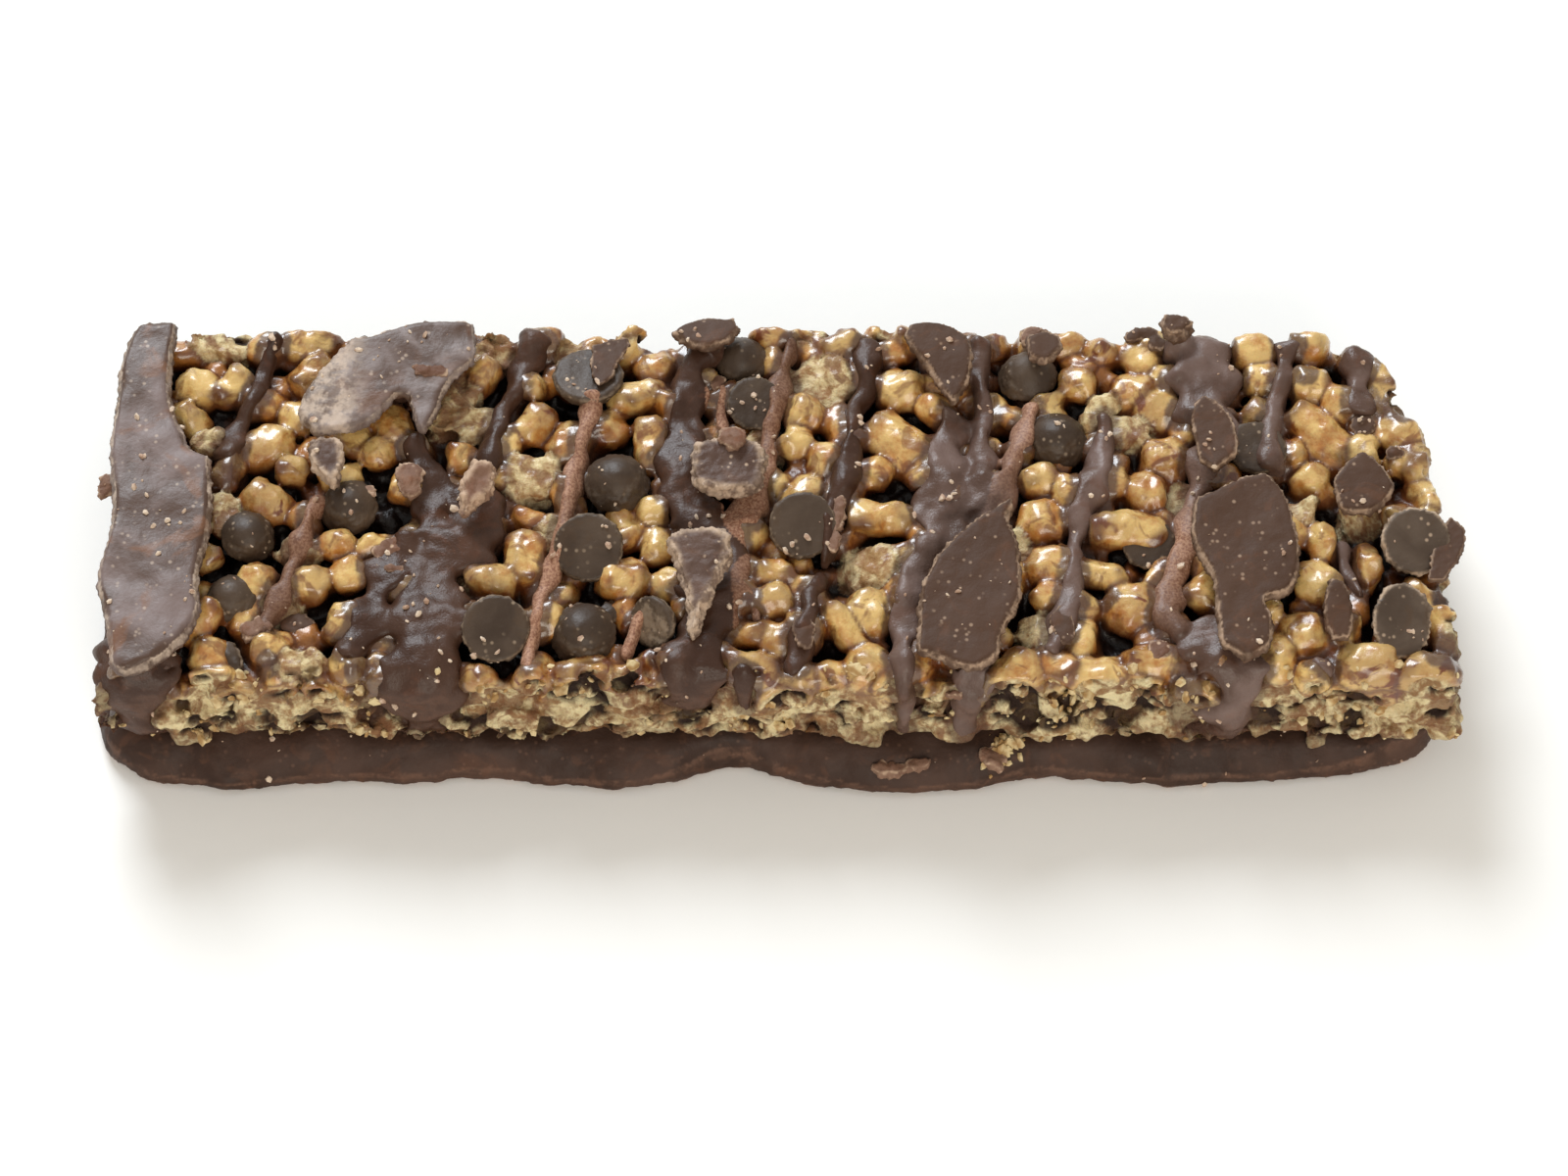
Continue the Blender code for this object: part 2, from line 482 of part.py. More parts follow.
def strand_route(strand):
    """Centre points with half widths along a run of drizzle, and on down the front cut face where it drips."""
    route = [(x, y, STRAND_LEVEL, width) for x, y, width in strand.points]
    if strand.drip:
        x, _, width = strand.points[-1]
        for shift, stand, share, thin in DRIP_SHAPE:
            level = max(STRAND_LEVEL - share * strand.drip, DRIP_END)
            lean = front_lean(level, (0.0, -1.0))
            route.append((x + shift, -HALF_WIDTH - stand - lean, level, width * thin))
    return route


def make_strand(strand, collection):
    """A run of drizzle as a low, rounded tube through its route."""
    route = strand_route(strand)
    centres = [Vector(point[:3]) for point in route]
    rings = []
    for index, centre in enumerate(centres):
        along = (centres[min(index + 1, len(centres) - 1)] - centres[max(index - 1, 0)]).normalized()
        on_face = index >= len(strand.points)
        out = Vector((0, -1, 0)) if on_face else Vector((0, 0, 1))
        across = along.cross(out).normalized()
        out = across.cross(along).normalized()
        width = route[index][3]
        height = min(max(width * 0.8, STRAND_HEIGHT[0]), STRAND_HEIGHT[1])
        rings.append([
            centre + across * (width * math.cos(angle)) + out * (height * math.sin(angle))
            for angle in (math.tau * (side + 0.5) / STRAND_SIDES for side in range(STRAND_SIDES))])
    tips = [
        centres[end] + (centres[end] - centres[beside]).normalized() * route[end][3] * STRAND_TIP
        for end, beside in ((0, 1), (-1, -2))]
    tips[1].z = max(tips[1].z, SLAB_BOTTOM + CRISP_LIFT)
    new_object("strand_" + strand.name, *rings_to_shell(rings, *tips), collection=collection)


def apply_boolean(piece, collection, operation):
    """Joins a collection to the piece, or cuts it from it, and then removes the collection's objects."""
    modifier = piece.modifiers.new(operation.title(), "BOOLEAN")
    modifier.operation = operation
    modifier.operand_type = "COLLECTION"
    modifier.collection = collection
    modifier.solver = "MANIFOLD"
    bpy.context.view_layer.update()
    result = bpy.data.meshes.new_from_object(piece.evaluated_get(bpy.context.evaluated_depsgraph_get()))
    piece.modifiers.clear()
    piece.data = result
    for tool in list(collection.objects):
        bpy.data.objects.remove(tool)
    bpy.data.collections.remove(collection)


def drop_scraps(piece):
    """Triangulates the mesh and keeps the largest body of faces that are joined along their edges."""
    shape = bmesh.new()
    shape.from_mesh(piece.data)
    bmesh.ops.triangulate(shape, faces=shape.faces)
    seen, bodies = set(), []
    for first in shape.faces:
        if first in seen:
            continue
        body, waiting = [], [first]
        seen.add(first)
        while waiting:
            face = waiting.pop()
            body.append(face)
            for other in {other for edge in face.edges for other in edge.link_faces} - seen:
                seen.add(other)
                waiting.append(other)
        bodies.append(body)
    largest = max(bodies, key=len)
    loose = [face for body in bodies if body is not largest for face in body]
    bmesh.ops.delete(shape, geom=loose, context="FACES")
    shape.to_mesh(piece.data)
    shape.free()


def new_collection(name):
    """An empty collection in the scene."""
    collection = bpy.data.collections.new(name)
    bpy.context.scene.collection.children.link(collection)
    return collection


def make_slab(material):
    """The slab: a core with crisps and drizzle fused to it, and a seat left for each chip and patch."""
    core = inward(KNIFE_LINE, CORE_INSET)
    rings = [[(*point, level) for point in core] for level in (SLAB_BOTTOM, CORE_TOP)]
    slab = new_object("crisp_slab", *rings_to_shell(rings), material)
    heap = new_collection("heap")
    make_crisps(heap)
    for strand in STRANDS:
        make_strand(strand, heap)
    apply_boolean(slab, heap, "UNION")
    seats = new_collection("seats")
    for chip in CHIPS:
        make_chip(chip, None, GAP, seats)
    for patch in PATCHES:
        make_patch(patch, None, PATCH_GAP, seats)
    apply_boolean(slab, seats, "DIFFERENCE")
    drop_scraps(slab)
    slab.data.materials.clear()
    slab.data.materials.append(material)
    return slab


def main():
    """Clears the scene and builds every node."""
    for piece in list(bpy.data.objects):
        bpy.data.objects.remove(piece)
    milk = new_material("milk_chocolate", (0.10, 0.055, 0.040), 0.45)
    dark = new_material("dark_chip", (0.055, 0.038, 0.028), 0.5)
    crisps = new_material("glazed_crisp", (0.45, 0.24, 0.075), 0.35)
    make_base(milk)
    for chip in CHIPS:
        make_chip(chip, dark)
    for patch in PATCHES:
        make_patch(patch, milk)
    make_slab(crisps)


main()
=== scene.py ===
"""Looks for the crisp protein bar: glazed crisps on a chocolate base, with chips, drizzle and flat patches.

Sizes are in millimetres, and MM turns them into Blender's metres where a mesh is made. X runs along the bar,
Y across it with the cut front face at -Y, and Z up from the table.
"""

from __future__ import annotations

import json
import logging
import math
from dataclasses import dataclass, field, replace
from enum import Enum
from typing import Any, Callable, Iterable, Sequence

import bmesh
import bpy
import numpy as np
from mathutils import Euler, Matrix, Vector, noise
from mathutils.bvhtree import BVHTree
from mathutils.kdtree import KDTree

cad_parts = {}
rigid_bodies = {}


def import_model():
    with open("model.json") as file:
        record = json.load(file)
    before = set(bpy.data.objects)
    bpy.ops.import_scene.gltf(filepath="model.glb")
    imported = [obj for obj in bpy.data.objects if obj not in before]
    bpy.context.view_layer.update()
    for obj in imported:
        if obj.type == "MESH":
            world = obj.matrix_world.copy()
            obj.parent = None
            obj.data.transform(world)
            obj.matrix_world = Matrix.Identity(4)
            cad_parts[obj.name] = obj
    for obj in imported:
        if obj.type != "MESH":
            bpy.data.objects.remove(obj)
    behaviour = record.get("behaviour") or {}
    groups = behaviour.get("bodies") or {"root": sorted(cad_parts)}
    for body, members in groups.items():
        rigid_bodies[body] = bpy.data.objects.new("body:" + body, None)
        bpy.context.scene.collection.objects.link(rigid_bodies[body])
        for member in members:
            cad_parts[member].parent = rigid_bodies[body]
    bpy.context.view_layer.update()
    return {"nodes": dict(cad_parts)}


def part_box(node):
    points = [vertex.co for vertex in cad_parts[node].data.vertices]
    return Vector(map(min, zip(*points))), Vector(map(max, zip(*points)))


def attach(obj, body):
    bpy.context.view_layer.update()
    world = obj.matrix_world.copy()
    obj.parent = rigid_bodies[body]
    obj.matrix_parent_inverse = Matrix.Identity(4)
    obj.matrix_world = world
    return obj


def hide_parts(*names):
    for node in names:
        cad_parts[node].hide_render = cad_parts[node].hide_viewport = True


log = logging.getLogger("protein_bar")

Span = tuple[float, float]
Colour = tuple[float, float, float, float]
Socket = bpy.types.NodeSocket
Finish = bpy.types.Material
Mesh = bpy.types.Mesh
Piece = bpy.types.Object
Shape = bmesh.types.BMesh

MM = 0.001
BODY = "root"

# The bar's driving sizes, as in the solids.
HALF_LENGTH = 55.0
HALF_WIDTH = 17.2
CRISP_TOP = 13.0
SLAB_BOTTOM = 4.3
LEAN_TOP = 11.5
FRONT_LEAN = 1.4
KNIFE_LINE = (
    (-54.6, -17.2), (0.0, -17.3), (55.7, -17.2), (56.0, -11.0), (55.2, 0.0),
    (54.0, 7.2), (51.6, 13.2), (48.6, 17.0), (0.0, 17.3), (-53.8, 17.0), (-54.8, 0.0),
)


class Slot(Enum):
    """The record's material slots."""

    CRISP = "glazed_crisp"
    MILK = "milk_chocolate"
    DARK = "dark_chip"


class Kind(Enum):
    """The shapes a crisp comes in."""

    ROUND = 0
    ROD = 1
    BENT = 2
    STUB = 3
    LOBED = 4
    BROKEN = 5


@dataclass(frozen=True)
class Form:
    """How a kind of crisp departs from a ball. A bluntness of 2 is round, and one of 4 is square-ended."""

    blunt: float
    waist: float = 0.0
    bend: float = 0.0
    flat: float = 1.0


FORMS = {
    Kind.ROUND: Form(2.8), Kind.ROD: Form(3.8, 0.04), Kind.BENT: Form(3.0, 0.05, 0.3),
    Kind.STUB: Form(4.6), Kind.LOBED: Form(3.0, 0.16), Kind.BROKEN: Form(3.0, 0.1, 0.1, 0.5),
}


DISPLAY_WHITE = 255


def tint(red: float, green: float, blue: float) -> Colour:
    """A linear colour from display values of 0 to 255.

    Args:
        red: red on the display's scale.
        green: green on the display's scale.
        blue: blue on the display's scale.

    Returns:
        The linear colour, with an alpha of 1.
    """
    def linear(value: float) -> float:
        """One value, by the display's usual curve."""
        share = value / DISPLAY_WHITE
        return share / 12.92 if share <= 0.04045 else ((share + 0.055) / 1.055) ** 2.4

    return linear(red), linear(green), linear(blue), 1.0


class Nodes:
    """A node tree with one method that adds any node."""

    def __init__(self, tree: bpy.types.NodeTree) -> None:
        """Keeps the tree that the nodes go into."""
        self.tree = tree

    def fill(self, target: Socket, source: Any) -> None:
        """Links an input to a socket or a Value, or sets it to a plain value.

        Args:
            target: the input.
            source: what it takes.
        """
        source = source.socket if isinstance(source, Value) else source
        if isinstance(source, Socket):
            self.tree.links.new(source, target)
        else:
            target.default_value = source

    def node(
        self, kind: str, settings: dict[str, Any] | None = None, sockets: dict[Any, Any] | None = None
    ) -> bpy.types.Node:
        """Adds a node, sets its options and then fills its sockets.

        Args:
            kind: the node's type.
            settings: the node's own options by name.
            sockets: a value, a socket or a Value for each input, by name or by number.

        Returns:
            The new node.
        """
        made = self.tree.nodes.new(kind)
        for name, value in (settings or {}).items():
            setattr(made, name, value)
        for key, source in (sockets or {}).items():
            self.fill(made.inputs[key], source)
        return made

    def value(
        self, kind: str, output: Any = 0, settings: dict | None = None, sockets: dict | None = None
    ) -> Value:
        """Adds a node like the method above, and returns one of its outputs for arithmetic."""
        return Value(self, self.node(kind, settings, sockets).outputs[output])


class Value:
    """A socket that adds a Math node for each operator."""

    def __init__(self, nodes: Nodes, socket: Socket) -> None:
        """Keeps an output that carries a number, and its tree."""
        self.nodes = nodes
        self.socket = socket

    def _math(self, operation: str, first: Any, second: Any = 0.0, clamp: bool = False) -> Value:
        """Adds one Math node, whose result may be held between 0 and 1."""
        settings = {"operation": operation, "use_clamp": clamp}
        return self.nodes.value("ShaderNodeMath", 0, settings, {0: first, 1: second})

    def __add__(self, other: Any) -> Value:
        """self + other."""
        return self._math("ADD", self, other)

    def __radd__(self, other: Any) -> Value:
        """other + self."""
        return self._math("ADD", other, self)

    def __sub__(self, other: Any) -> Value:
        """self - other."""
        return self._math("SUBTRACT", self, other)

    def __rsub__(self, other: Any) -> Value:
        """other - self."""
        return self._math("SUBTRACT", other, self)

    def __mul__(self, other: Any) -> Value:
        """self * other."""
        return self._math("MULTIPLY", self, other)

    def __rtruediv__(self, other: Any) -> Value:
        """other / self."""
        return self._math("DIVIDE", other, self)

    def clamped(self) -> Value:
        """The value held between 0 and 1."""
        return self._math("ADD", self, 0.0, clamp=True)

    def between(self, low: float, high: float) -> Value:
        """A smooth step of the value, from 0 at low to 1 at high."""
        sockets = {"Value": self, "From Min": low, "From Max": high}
        return self.nodes.value(
            "ShaderNodeMapRange", "Result", {"interpolation_type": "SMOOTHSTEP"}, sockets)


class Shade(Nodes):
    """A material's tree, with short names for the patterns that foods need."""

    def __init__(self, name: str) -> None:
        """Makes an empty material with a Principled shader.

        Args:
            name: the material's name.
        """
        self.material = bpy.data.materials.new(name)
        self.material.use_nodes = True
        super().__init__(self.material.node_tree)
        self.tree.nodes.clear()
        self.shader = self.node("ShaderNodeBsdfPrincipled")
        output = self.node("ShaderNodeOutputMaterial", sockets={"Surface": self.shader.outputs[0]})
        output.is_active_output = True
        self.place = self.node("ShaderNodeTexCoord").outputs["Object"]

    def noise(self, size: float, detail: float = 2.0, rough: float = 0.5, warp: float = 0.0) -> Value:
        """Soft cloudy noise.

        Args:
            size: the width of its patches, in millimetres.
            detail: how many finer layers it has.
            rough: how strong the finer layers are.
            warp: how much the pattern is warped.

        Returns:
            A value round 0.5.
        """
        sockets = {
            "Vector": self.place, "Scale": 1 / (size * MM), "Detail": detail, "Roughness": rough,
            "Distortion": warp,
        }
        return self.value("ShaderNodeTexNoise", 0, None, sockets)

    def cells(self, size: float) -> Value:
        """The distance from the middle of scattered cells, whose width is in millimetres."""
        sockets = {"Vector": self.place, "Scale": 1 / (size * MM)}
        return self.value("ShaderNodeTexVoronoi", "Distance", None, sockets)

    def attribute(self, name: str) -> Value:
        """A number stored on the mesh."""
        return self.value("ShaderNodeAttribute", "Fac", {"attribute_name": name})

    def height(self) -> Value:
        """The height above the table, in millimetres."""
        return self.value("ShaderNodeSeparateXYZ", "Z", None, {0: self.place}) * (1 / MM)

    def mix(self, share: Any, first: Any, second: Any) -> Socket:
        """Mixes two colours or colour sockets, by a share of 0 for the first and 1 for the second."""
        sockets = {0: share, 6: first, 7: second}
        return self.node("ShaderNodeMix", {"data_type": "RGBA"}, sockets).outputs[2]

    def bump(
        self, height: Value, depth: float, under: Socket | None = None
    ) -> Socket:
        """Turns a height pattern into a normal.

        Args:
            height: the pattern.
            depth: how deep a step of 1 is, in millimetres.
            under: a normal that this one is laid over.

        Returns:
            The normal's socket.
        """
        sockets: dict[str, Any] = {"Height": height, "Distance": depth * MM, "Strength": 1.0}
        if under is not None:
            sockets["Normal"] = under
        return self.node("ShaderNodeBump", None, sockets).outputs[0]

    def wear(self, **values: Any) -> Finish:
        """Fills the shader's sockets.

        Args:
            **values: what each socket takes, with underscores for the spaces of its name.

        Returns:
            The finished material.
        """
        for name, source in values.items():
            self.fill(self.shader.inputs[name.replace("_", " ")], source)
        return self.material


@dataclass(frozen=True)
class GlazedCrust:
    """Puffed crisps under clear caramel that has browned between them, with bare crumb at the cuts.

    The mesh holds "tone" for each crisp, "glaze" where caramel fills the gaps and, as painted shade, where
    two crisps meet,
    "bare" where crumb shows, and "stain" beside chocolate. It also holds "cavity", the depth below the
    crowns, which paints shade, browner and then near-black deeper down, and "pit" for its pores, which are
    painted dark as shade.
    """

    light: Colour = tint(221, 184, 114)
    middle: Colour = tint(179, 117, 51)
    deep: Colour = tint(114, 58, 22)
    # The caramel colour serves both real caramel and painted shade below the crowns; the colour after it is
    # painted shade, near-black, deepest down.
    caramel: Colour = tint(92, 46, 20)
    deep_shade: Colour = tint(22, 10, 6)
    crumb: Colour = tint(222, 206, 162)
    crumb_shade: Colour = tint(144, 110, 74)
    smear: Colour = tint(118, 76, 47)
    # Painted shade in the crumb's pores.
    pit_shade: Colour = tint(42, 25, 15)
    chocolate: Colour = tint(80, 52, 38)
    patch_size: float = 1.3
    pale_steps: Span = (0.08, 0.82)
    shade_depths: Span = (0.3, 1.5)
    syrup_size: float = 2.6
    syrup_steps: Span = (0.53, 0.64)
    syrup_share: float = 0.65
    toast_size: float = 8.0
    toast_steps: Span = (0.45, 0.65)
    toast_share: float = 0.42
    shade_brown_depths: Span = (0.8, 2.2)
    brown_share: float = 0.92
    shade_black_depths: Span = (1.8, 2.7)
    pore_size: float = 0.6
    flake_size: float = 2.1
    crumb_steps: Span = (0.85, 1.2)
    smear_steps: Span = (0.48, 0.6)
    smear_share: float = 0.8
    pit_steps: Span = (0.12, 0.75)
    wall_foot: Span = (4.2, 6.0)
    foot_share: float = 0.6
    stain_size: float = 1.5
    stain_steps: Span = (0.35, 0.8)
    grain_size: float = 0.5
    grain_depth: float = 0.22
    depth_of_light: float = 0.8

    def skin(self, shade: Shade) -> Socket:
        """The glazed outside of a crisp, browner where the caramel is thick, and darker below the crowns as
        painted shade.

        Args:
            shade: the material's tree.

        Returns:
            The colour.
        """
        tone, patch = shade.attribute("tone"), shade.noise(self.patch_size, 3.0, 0.6)
        # Painted shade: the skin is darker the deeper it lies below the crowns.
        shaded = shade.attribute("cavity").between(*self.shade_depths)
        pale = patch * 1.8 + tone * 0.5 - 0.6 - shaded * 0.35
        skin = shade.mix(pale.between(*self.pale_steps), self.middle, self.light)
        thick = shade.noise(self.syrup_size, 3.0, 0.6, 0.8).between(*self.syrup_steps)
        toasted = shade.noise(self.toast_size, 2.0, 0.5).between(*self.toast_steps)
        browned = thick * self.syrup_share + toasted * self.toast_share
        return shade.mix(browned.clamped(), skin, self.deep)

    def bare_crumb(self, shade: Shade, pits: Value) -> Socket:
        """The pale inside of a crisp that is cut or broken.

        Args:
            shade: the material's tree.
            pits: the pattern of its pores.

        Returns:
            The colour.
        """
        flaky, fine = shade.noise(self.flake_size, 4.0, 0.65, 0.6), shade.noise(0.6, 2.0, 0.6)
        shaded = (pits * 0.2 + flaky * 1.3 + fine * 0.5).between(*self.crumb_steps)
        crumb = shade.mix(shaded, self.crumb, self.crumb_shade)
        smeared = shade.noise(2.6, 4.0, 0.6, 0.8).between(*self.smear_steps)
        crumb = shade.mix(smeared * self.smear_share, crumb, self.smear)
        # Painted shade: the pores are darkened.
        crumb = shade.mix(shade.attribute("pit").between(*self.pit_steps), crumb, self.pit_shade)
        foot = 1 - shade.height().between(*self.wall_foot)
        return shade.mix(foot * self.foot_share, crumb, self.chocolate)

    def build(self) -> Finish:
        """The finish.

        Returns:
            Its material.
        """
        shade = Shade("glazed_crust")
        glaze, bare, pits = shade.attribute("glaze"), shade.attribute("bare"), shade.cells(self.pore_size)
        cavity = shade.attribute("cavity")
        # Caramel where the glaze lies, plus painted shade: browner with depth below the crowns and near-black
        # deepest down. The coat fades with the same depth.
        brown = (glaze + cavity.between(*self.shade_brown_depths)).clamped()
        colour = shade.mix(brown * self.brown_share, self.skin(shade), self.caramel)
        colour = shade.mix(cavity.between(*self.shade_black_depths), colour, self.deep_shade)
        colour = shade.mix(bare, colour, self.bare_crumb(shade, pits))
        blotches = 0.3 + shade.noise(self.stain_size, 3.0, 0.65) * 1.1
        stained = (shade.attribute("stain") * blotches).between(*self.stain_steps)
        colour = shade.mix(stained * (0.85 - bare * 0.2), colour, self.chocolate)
        fine = shade.noise(self.grain_size, 3.0, 0.65)
        relief = fine * (0.5 + bare * 0.8) + pits * bare * 0.25
        return shade.wear(
            Base_Color=colour,
            Roughness=(0.3 + bare * 0.45 + fine * 0.12).clamped(),
            Coat_Weight=(1 - bare - cavity.between(*self.shade_brown_depths)).clamped(),
            Coat_Roughness=0.2,
            Specular_IOR_Level=0.32,
            Subsurface_Weight=0.08,
            Subsurface_Radius=(1.0, 0.5, 0.25),
            Subsurface_Scale=self.depth_of_light * MM,
            Normal=shade.bump(relief, self.grain_depth),
        )


@dataclass(frozen=True)
class Chocolate:
    """Set chocolate: a body colour with clouds, which are bloom in some finishes and a painted sheen in
    others, pale broken rims, and a sheen that varies.

    The mesh holds "rim", which is 1 along broken edges, and a drizzle also holds "rust" for its reddish runs.
    """

    name: str
    body: Colour
    bloom_and_sheen: Colour
    stain: Colour
    rim: Colour
    cloud_share: float = 0.6
    stain_share: float = 0.3
    rim_share: float = 0.8
    roughness: float = 0.42
    grain: float = 0.3
    grain_depth: float = 0.03
    fleck_share: float = 0.45
    cloud_size: float = 6.0
    cloud_steps: Span = (0.35, 0.7)
    stain_size: float = 3.1
    stain_steps: Span = (0.54, 0.68)
    patch_size: float = 1.7
    patch_steps: Span = (0.4, 0.58)
    fleck_size: float = 0.75
    fleck_steps: Span = (0.1, 0.3)
    wave_size: float = 1.4
    wave_depth: float = 0.04
    shine: float = 0.3
    foot_line: bool = False
    foot_heights: Span = (0.25, 0.8)
    rusts: bool = False
    rust: Colour = tint(196, 150, 120)
    deep_rust: Colour = tint(140, 92, 68)

    def build(self) -> Finish:
        """The finish.

        Returns:
            Its material.
        """
        shade = Shade(self.name)
        clouds = shade.noise(self.cloud_size, 4.0, 0.55, 0.6).between(*self.cloud_steps)
        stains = shade.noise(self.stain_size, 3.0, 0.6, 1.2).between(*self.stain_steps)
        fine = shade.noise(self.grain, 3.0, 0.65)
        # The clouds are bloom, and in the end coat, back patch and sheeny finishes a painted sheen.
        colour = shade.mix(clouds * self.cloud_share, self.body, self.bloom_and_sheen)
        colour = shade.mix(stains * self.stain_share, colour, self.stain)
        if self.rusts:
            rusty = shade.attribute("rust") * (0.5 + shade.noise(1.1, 3.0, 0.6)).clamped()
            reds = shade.mix(fine.between(0.35, 0.65), self.deep_rust, self.rust)
            colour = shade.mix(rusty * 0.9, colour, reds)
        edge = shade.attribute("rim")
        if self.foot_line:
            edge = edge * 0.3 + (1 - shade.height().between(*self.foot_heights))
        patchy = 0.25 + shade.noise(self.patch_size, 3.0, 0.7).between(*self.patch_steps)
        rim = (edge * patchy * (0.3 + shade.noise(0.5, 2.0, 0.7) * 1.4)).clamped()
        colour = shade.mix(rim * self.rim_share, colour, self.rim)
        specks = 1 - shade.cells(self.fleck_size).between(*self.fleck_steps)
        sparse = shade.noise(2.2, 2.0, 0.6).between(0.46, 0.6)
        colour = shade.mix(specks * sparse * self.fleck_share, colour, self.rim)
        rough = self.roughness + clouds * 0.08 + rim * 0.2 + (fine - 0.5) * 0.2
        if self.rusts:
            rough = rough + shade.attribute("rust") * 0.25
        waves = shade.bump(shade.noise(self.wave_size, 2.0, 0.5), self.wave_depth)
        return shade.wear(
            Base_Color=colour,
            Roughness=rough.clamped(),
            Specular_IOR_Level=self.shine,
            Normal=shade.bump(fine, self.grain_depth, waves),
        )


FLAT_MILK = Chocolate(
    "flat_milk_chocolate", body=tint(74, 51, 37), bloom_and_sheen=tint(90, 66, 52), stain=tint(104, 66, 42),
    rim=tint(198, 168, 142), cloud_share=0.5, rim_share=0.7, roughness=0.56, grain=0.2, shine=0.22)
# The end coat's pale lilac clouds are a painted sheen; its stains are its own colour.
END_MILK = Chocolate(
    "end_coat_chocolate", body=tint(80, 57, 44), bloom_and_sheen=tint(124, 106, 101), stain=tint(122, 82, 56),
    rim=tint(206, 184, 164), cloud_share=0.95, stain_share=0.7, rim_share=0.75, cloud_size=7.0,
    cloud_steps=(0.44, 0.66), stain_size=5.5, shine=0.4)
# The back patch's paler clouds are a painted sheen.
BACK_MILK = replace(
    END_MILK, name="back_patch_chocolate", bloom_and_sheen=tint(138, 122, 117), stain_share=0.4,
    cloud_steps=(0.38, 0.6))
POURED = Chocolate(
    "poured_chocolate", body=tint(60, 37, 25), bloom_and_sheen=tint(86, 60, 46), stain=tint(98, 60, 40),
    rim=tint(130, 98, 82), stain_share=0.35, rim_share=0.2, roughness=0.33, grain=0.22, grain_depth=0.05,
    fleck_share=0.1, rusts=True)
# A lighter copy of the poured finish, whose pale clouds are a painted sheen, for the runs on the right.
SHEENY = replace(
    POURED, name="sheeny_chocolate", body=tint(82, 58, 46), bloom_and_sheen=tint(132, 110, 102), shine=0.4)
DARK_CHIP = Chocolate(
    "dark_chip_look", body=tint(60, 45, 33), bloom_and_sheen=tint(94, 77, 62), stain=tint(82, 60, 40),
    rim=tint(168, 146, 122), stain_share=0.35, rim_share=0.5, roughness=0.44, grain=0.22, fleck_share=0.6)
RIMMED_CHIP = replace(
    DARK_CHIP, name="rimmed_chip_look", body=tint(70, 55, 43), bloom_and_sheen=tint(106, 90, 76),
    rim=tint(194, 168, 142), rim_share=0.95)
BASE_COAT = Chocolate(
    "base_coat_look", body=tint(54, 36, 27), bloom_and_sheen=tint(90, 66, 55), stain=tint(104, 68, 48),
    rim=tint(156, 116, 94), rim_share=0.6, roughness=0.5, grain=0.4, grain_depth=0.05, fleck_share=0.15,
    cloud_size=9.0, shine=0.2, foot_line=True)
ROUGH_LUMP = Chocolate(
    "rough_lump_look", body=tint(108, 75, 58), bloom_and_sheen=tint(150, 118, 98), stain=tint(128, 84, 60),
    rim=tint(198, 168, 142), cloud_share=0.7, stain_share=0.6, rim_share=1.0, roughness=0.6,
    grain_depth=0.12, fleck_share=0.9, shine=0.25)
CRUMBED_LUMP = Chocolate(
    "crumbed_lump_look", body=tint(80, 57, 46), bloom_and_sheen=tint(112, 90, 80), stain=tint(120, 84, 62),
    rim=tint(194, 168, 144), rim_share=1.0, roughness=0.5, grain_depth=0.1, fleck_share=1.0, shine=0.35)
RIMMED_CHIPS = ("chip_12", "chip_13")
DOMED_CHIPS = ("chip_04", "chip_05", "chip_08", "chip_09", "chip_10", "chip_14", "chip_15", "chip_16")
LUMP_LOOKS = {
    "lump_front": CRUMBED_LUMP, "lump_left": CRUMBED_LUMP, "lump_middle": CRUMBED_LUMP,
    "lump_back_right": FLAT_MILK,
}
FINISHES = (FLAT_MILK, END_MILK, BACK_MILK, DARK_CHIP, RIMMED_CHIP, ROUGH_LUMP, CRUMBED_LUMP, BASE_COAT)


@dataclass(frozen=True)
class Crumbs:
    """Loose crumbs, each with a tone of its own."""

    name: str
    dark: Colour
    light: Colour

    def build(self) -> Finish:
        """The finish.

        Returns:
            Its material.
        """
        shade = Shade(self.name)
        colour = shade.mix(shade.noise(0.9, 1.0, 0.5).between(0.35, 0.65), self.dark, self.light)
        fine = shade.noise(0.15, 2.0, 0.6)
        return shade.wear(Base_Color=colour, Roughness=0.65 + fine * 0.2, Normal=shade.bump(fine, 0.05))


@dataclass(frozen=True)
class TableTop:
    """The plain pale table."""

    colour: Colour = tint(250, 248, 244)
    shadow: Colour = tint(236, 234, 230)

    def build(self) -> Finish:
        """The finish.

        Returns:
            Its material.
        """
        shade = Shade("table_look")
        fine = shade.noise(1.5, 2.0, 0.5)
        colour = shade.mix(fine * 0.06, self.colour, self.shadow)
        return shade.wear(Base_Color=colour, Roughness=0.7, Normal=shade.bump(fine, 0.01))


